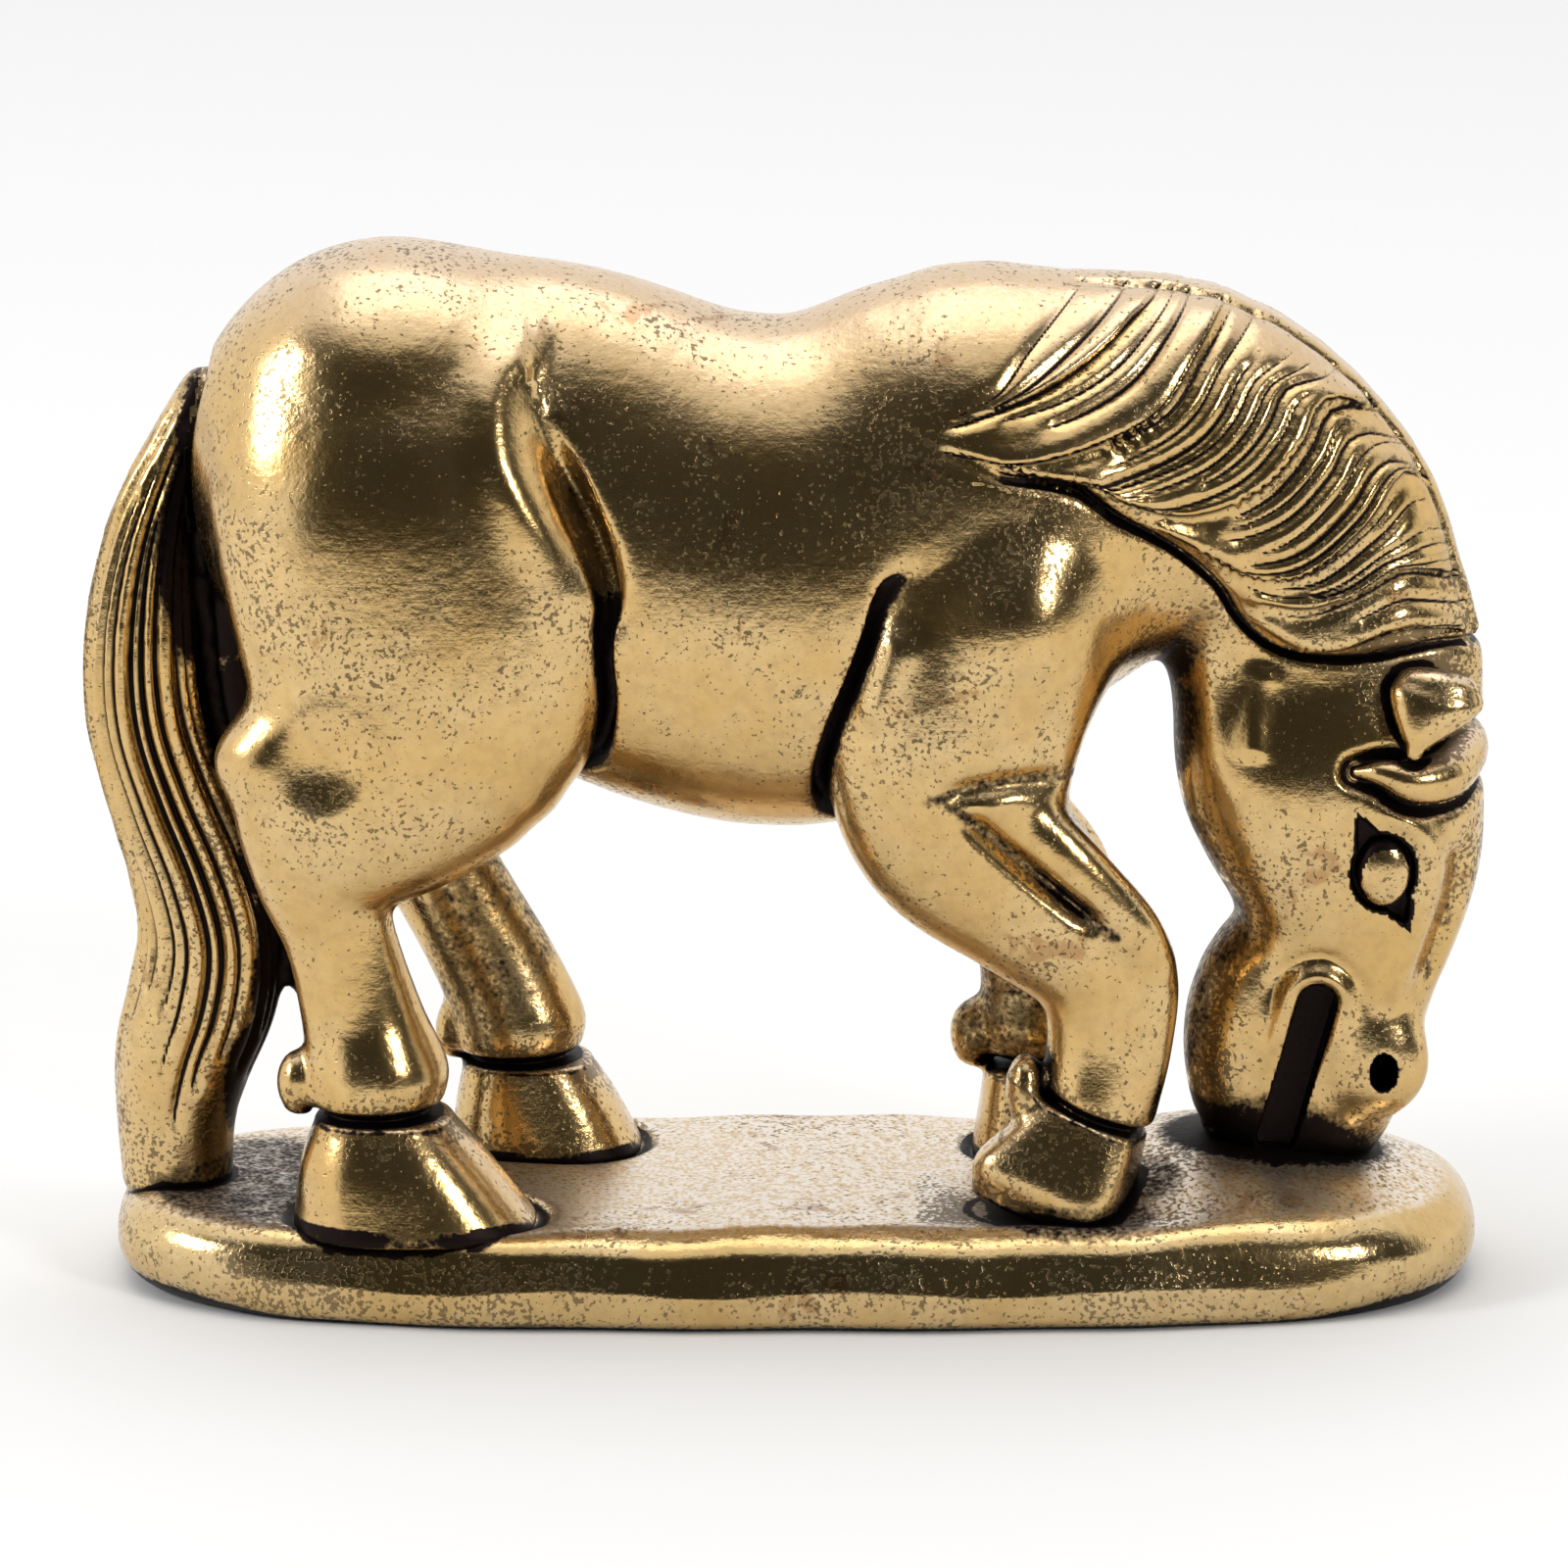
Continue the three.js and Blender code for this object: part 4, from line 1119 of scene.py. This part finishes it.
# Finishes.
def agedBrass(name, finish):
    material = bpy.data.materials.new(name)
    material.use_nodes = True
    nodes, links = material.node_tree.nodes, material.node_tree.links
    shader = nodes["Principled BSDF"]
    place = nodes.new("ShaderNodeTexCoord").outputs["Object"]
    put, calc, ranged = nodeTools(material.node_tree)

    def noise(size, detail=3.0, rough=0.55, stretch=None, distortion=0.0):
        made = nodes.new("ShaderNodeTexNoise")
        source = place
        if stretch:
            mapping = nodes.new("ShaderNodeMapping")
            mapping.inputs["Scale"].default_value = stretch
            links.new(place, mapping.inputs["Vector"])
            source = mapping.outputs[0]
        links.new(source, made.inputs["Vector"])
        made.inputs["Scale"].default_value = size
        made.inputs["Detail"].default_value = detail
        made.inputs["Roughness"].default_value = rough
        made.inputs["Distortion"].default_value = distortion
        return made.outputs["Fac"]

    def blend(factor, a, b):
        made = nodes.new("ShaderNodeMix")
        made.data_type = "RGBA"
        for key, value in (("Factor", factor), ("A", a), ("B", b)):
            put(made.inputs[key], value)
        return made.outputs["Result"]

    def attribute(key):
        made = nodes.new("ShaderNodeAttribute")
        made.attribute_name = key
        return made.outputs["Fac"]

    fine, middle, wide, cut, patinaAndShadeSpots = (attribute(key) for key in ("fine", "middle", "wide", "cut", "patinaAndPaintedShade"))
    skinNode = nodes.new("ShaderNodeAttribute")
    skinNode.attribute_name = "skin"
    skinParts = nodes.new("ShaderNodeSeparateXYZ")
    links.new(skinNode.outputs["Vector"], skinParts.inputs[0])
    upward = skinParts.outputs["Z"]
    closeIn = calc("SUBTRACT", 1.0, middle)
    farIn = calc("SUBTRACT", 1.0, wide)
    patches = noise(260, 3.0)
    grains = noise(6500, 2.0, 0.5)
    clumps = noise(1300, 3.0, 0.6)
    crumbs = noise(2300, 4.0, 0.65)

    # specks of dark oxide left in the pits, closer together where the cloth couldn't reach
    limit = calc("SUBTRACT", finish["speckLimit"],
                 calc("ADD", calc("MULTIPLY", closeIn, 0.22), calc("MULTIPLY", farIn, 0.10)))
    limit = calc("SUBTRACT", limit, calc("MULTIPLY", calc("SUBTRACT", clumps, 0.5), 0.22))
    limit = calc("SUBTRACT", limit, calc("MULTIPLY", calc("SUBTRACT", patches, 0.5), 0.5))
    specks = ranged(calc("SUBTRACT", grains, limit), 0.0, 0.07)
    # solid black patina in corners, creases and cuts
    shade = calc("ADD", calc("MULTIPLY", calc("SUBTRACT", 1.0, fine), 1.1), calc("MULTIPLY", closeIn, 0.55))
    shade = calc("ADD", shade, calc("MULTIPLY", calc("SUBTRACT", crumbs, 0.5), 1.2))
    black = calc("MAXIMUM", ranged(shade, finish["blackFrom"], finish["blackFrom"] + 0.3),
                 ranged(cut, 0.3, 0.7))
    # the listed spots of patina and painted shade, broken up by noise
    speckledPatinaAndShade = calc("ADD", patinaAndShadeSpots, calc("MULTIPLY", calc("SUBTRACT", crumbs, 0.5), 0.6))
    speckledPatinaAndShade = calc("ADD", speckledPatinaAndShade, calc("MULTIPLY", calc("SUBTRACT", grains, 0.5), 0.6))
    black = calc("MAXIMUM", black, ranged(speckledPatinaAndShade, 0.25, 0.75))
    stains = calc("MULTIPLY", ranged(noise(480, 4.0, 0.7, distortion=0.6), 0.58, 0.66),
                  ranged(patches, 0.5, 0.58))

    metal = blend(ranged(patches, 0.3, 0.7), finish["brass"], finish["paleBrass"])
    metal = blend(calc("MULTIPLY", ranged(crumbs, 0.35, 0.75), 0.3), metal, finish["dullBrass"])
    # a pale painted sheen on metal that faces up, thinner where the grain is rough; facing up also roughens
    # the metal
    facingUp = ranged(upward, *finish["facingUp"])
    roughGrain = ranged(calc("ADD", grains, calc("MULTIPLY", crumbs, 0.5)), 0.68, 0.84)
    grainy = calc("SUBTRACT", 1.0, calc("MULTIPLY", roughGrain, finish["paintedSheenGrain"]))
    paintedSheen = calc("MULTIPLY", calc("MULTIPLY", facingUp, finish["paintedSheenStrength"]), grainy)
    metal = blend(paintedSheen, metal, finish["paintedSheenColour"])
    metal = blend(calc("MULTIPLY", stains, 0.5), metal, finish["stain"])
    dark = calc("MAXIMUM", black, calc("MULTIPLY", specks, finish["speckDepth"]))
    put(shader.inputs["Base Color"], blend(dark, metal, finish["patina"]))
    shader.inputs["Metallic"].default_value = 1.0
    rough = calc("ADD", finish["roughness"], calc("MULTIPLY", crumbs, finish["roughnessSpread"]))
    rough = calc("ADD", rough, calc("MULTIPLY", facingUp, finish["topRoughness"]))
    put(shader.inputs["Roughness"], calc("ADD", rough, calc("MULTIPLY", dark, 0.25), clamp=True))

    scratches = noise(1.0, 4.0, 0.7, stretch=(1500, 1500, 9000))
    height = calc("SUBTRACT", calc("MULTIPLY", crumbs, 0.6), calc("MULTIPLY", specks, 0.2))
    height = calc("ADD", height, calc("MULTIPLY", clumps, finish["waviness"]))
    height = calc("ADD", height, calc("MULTIPLY", scratches, finish["scratches"]))
    bump = nodes.new("ShaderNodeBump")
    bump.inputs["Strength"].default_value = finish["bump"]
    bump.inputs["Distance"].default_value = grainDepth
    links.new(height, bump.inputs["Height"])
    links.new(bump.outputs[0], shader.inputs["Normal"])
    return material


grainDepth = 0.00003  # metres
finishes = {
    "polished_brass": {
        "brass": (0.64, 0.42, 0.16, 1), "paleBrass": (0.70, 0.50, 0.24, 1),
        "dullBrass": (0.36, 0.23, 0.10, 1),
        # a pale painted sheen laid on metal facing up
        "paintedSheenColour": (0.72, 0.58, 0.46, 1), "paintedSheenStrength": 0.7, "paintedSheenGrain": 0.3,
        "facingUp": (0.35, 1.0), "topRoughness": 0.08,
        "stain": (0.30, 0.12, 0.04, 1), "patina": (0.016, 0.011, 0.010, 1),
        "roughness": 0.14, "roughnessSpread": 0.10,
        "speckLimit": 0.63, "speckDepth": 0.65, "blackFrom": 0.67,
        "scratches": 0.25, "waviness": 1.3, "bump": 0.6,
    },
    "dull_plinth_brass": {
        "brass": (0.62, 0.42, 0.17, 1), "paleBrass": (0.70, 0.52, 0.27, 1),
        "dullBrass": (0.36, 0.24, 0.11, 1),
        # a pale painted sheen laid on the plinth's top
        "paintedSheenColour": (0.80, 0.73, 0.66, 1), "paintedSheenStrength": 0.95, "paintedSheenGrain": 0.8,
        "facingUp": (0.8, 0.97), "topRoughness": 0.2,
        "stain": (0.30, 0.12, 0.04, 1), "patina": (0.016, 0.011, 0.010, 1),
        "roughness": 0.11, "roughnessSpread": 0.10,
        "speckLimit": 0.64, "speckDepth": 0.6, "blackFrom": 0.72,
        "scratches": 0.25, "waviness": 1.2, "bump": 0.6,
    },
}
brass = agedBrass("polished_brass", finishes["polished_brass"])
plinthBrass = agedBrass("dull_plinth_brass", finishes["dull_plinth_brass"])
engraving, sockets = engraver()
maneLines, tailLines = drawManeStrokes(), drawTailStrokes()
millimetre = 0.001
# the mane is cut as seen from the side, and the tail all round
maneCut = {"Strokes": maneLines, "Flatten": (1, 0, 1), "Sideways Only": 1.0,
           "Cut Width": 0.2 * millimetre, "Cut Depth": 0.3 * millimetre}
tailCut = {"Strokes": tailLines, "Flatten": (1, 1, 1), "Sideways Only": 0.0,
           "Cut Width": 0.24 * millimetre, "Cut Depth": 0.34 * millimetre}
everyCut = {"Swell Width": 0.45 * millimetre, "Swell Depth": 0.16 * millimetre,
            "Level": 0, "Material": brass}
cutting = {"right_mane": maneCut, "left_mane": maneCut, "tail": tailCut}
for name, cuts in cutting.items():
    engrave(pieces[name], engraving, sockets, {**cuts, **everyCut})
for lines in (maneLines, tailLines):
    bpy.data.objects.remove(lines)
report("engraving")
for name, piece in pieces.items():
    if name not in cutting:
        piece.data.materials.append(plinthBrass if name == "plinth" else brass)
    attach(piece, "root")
    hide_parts("trunk" if name == "croup" else name)

# Studio.
studio = {
    "lens": 200.0,
    "elevation": 14.0,
    "width": 49.1,  # millimetres across the picture at the figurine
    "aim": (0.0, 0.0, 15.65),
    "sensor": 36.0,
}
camera = placed("camera", bpy.data.cameras.new("camera"))
bpy.context.scene.camera = camera
camera.data.lens = studio["lens"]
camera.data.sensor_width = studio["sensor"]
distance = studio["width"] * scale * studio["lens"] / studio["sensor"]
tilt = math.radians(studio["elevation"])
back = Vector((0, -math.cos(tilt), math.sin(tilt)))
camera.location = toWorld(studio["aim"]) + back * distance
camera.rotation_euler = (-back).to_track_quat("-Z", "Y").to_euler()
camera.data.clip_start, camera.data.clip_end = 0.005, 20.0

floorMesh = bpy.data.meshes.new("floor")
reach = 3.0
front = -0.3  # the paper ends a little in front of the figurine
floorCorners = [(-reach, front, 0), (reach, front, 0), (reach, reach, 0), (-reach, reach, 0)]
floorMesh.from_pydata(floorCorners, [], [(0, 1, 2, 3)])
floor = placed("floor", floorMesh)
floor.location.z = plinthLow.z
paper = bpy.data.materials.new("white_paper")
paper.use_nodes = True
paperShader = paper.node_tree.nodes["Principled BSDF"]
paperShader.inputs["Base Color"].default_value = (0.85, 0.85, 0.85, 1)
paperShader.inputs["Roughness"].default_value = 0.9
floorMesh.materials.append(paper)

world = bpy.data.worlds.new("studio")
bpy.context.scene.world = world
world.use_nodes = True
nodes, links = world.node_tree.nodes, world.node_tree.links
background = nodes["Background"]
coordinate = nodes.new("ShaderNodeTexCoord")
split = nodes.new("ShaderNodeSeparateXYZ")
links.new(coordinate.outputs["Generated"], split.inputs[0])
_, calc, ranged = nodeTools(world.node_tree)
# a dark card in front of the figurine, which its polish mirrors and the camera doesn't see
towards = ranged(split.outputs["Y"], 0.05, -0.25)
highEdge = ranged(split.outputs["Z"], 0.86, 0.76)
leftEdge = ranged(split.outputs["X"], -0.82, -0.62)
dark = calc("MULTIPLY", calc("MULTIPLY", highEdge, towards), leftEdge)
path = nodes.new("ShaderNodeLightPath")
seen = calc("MULTIPLY", dark, calc("SUBTRACT", 1.0, path.outputs["Is Camera Ray"]))
mix = nodes.new("ShaderNodeMix")
mix.data_type = "RGBA"
mix.inputs["A"].default_value = (1.0, 1.0, 1.0, 1)
mix.inputs["B"].default_value = (0.035, 0.035, 0.03, 1)
links.new(seen, mix.inputs["Factor"])
links.new(mix.outputs["Result"], background.inputs["Color"])
background.inputs["Strength"].default_value = 1.1


def softbox(name, place, aim, size, power):
    light = placed(name, bpy.data.lights.new(name, "AREA"))
    light.data.shape = "RECTANGLE"
    light.data.size, light.data.size_y = size
    light.data.energy = power
    light.location = place
    light.rotation_euler = (Vector(aim) - Vector(place)).to_track_quat("-Z", "Y").to_euler()
    light.visible_camera = False


middle = (0, 0, 0.015)
softbox("top_softbox", (0, 0.05, 0.5), middle, (0.4, 0.35), 0.5)
softbox("left_softbox", (-0.45, -0.14, 0.27), middle, (0.14, 0.14), 0.9)
softbox("right_softbox", (0.3, -0.32, 0.22), middle, (0.09, 0.13), 0.6)
bpy.context.scene.view_settings.view_transform = "Standard"
report("studio")
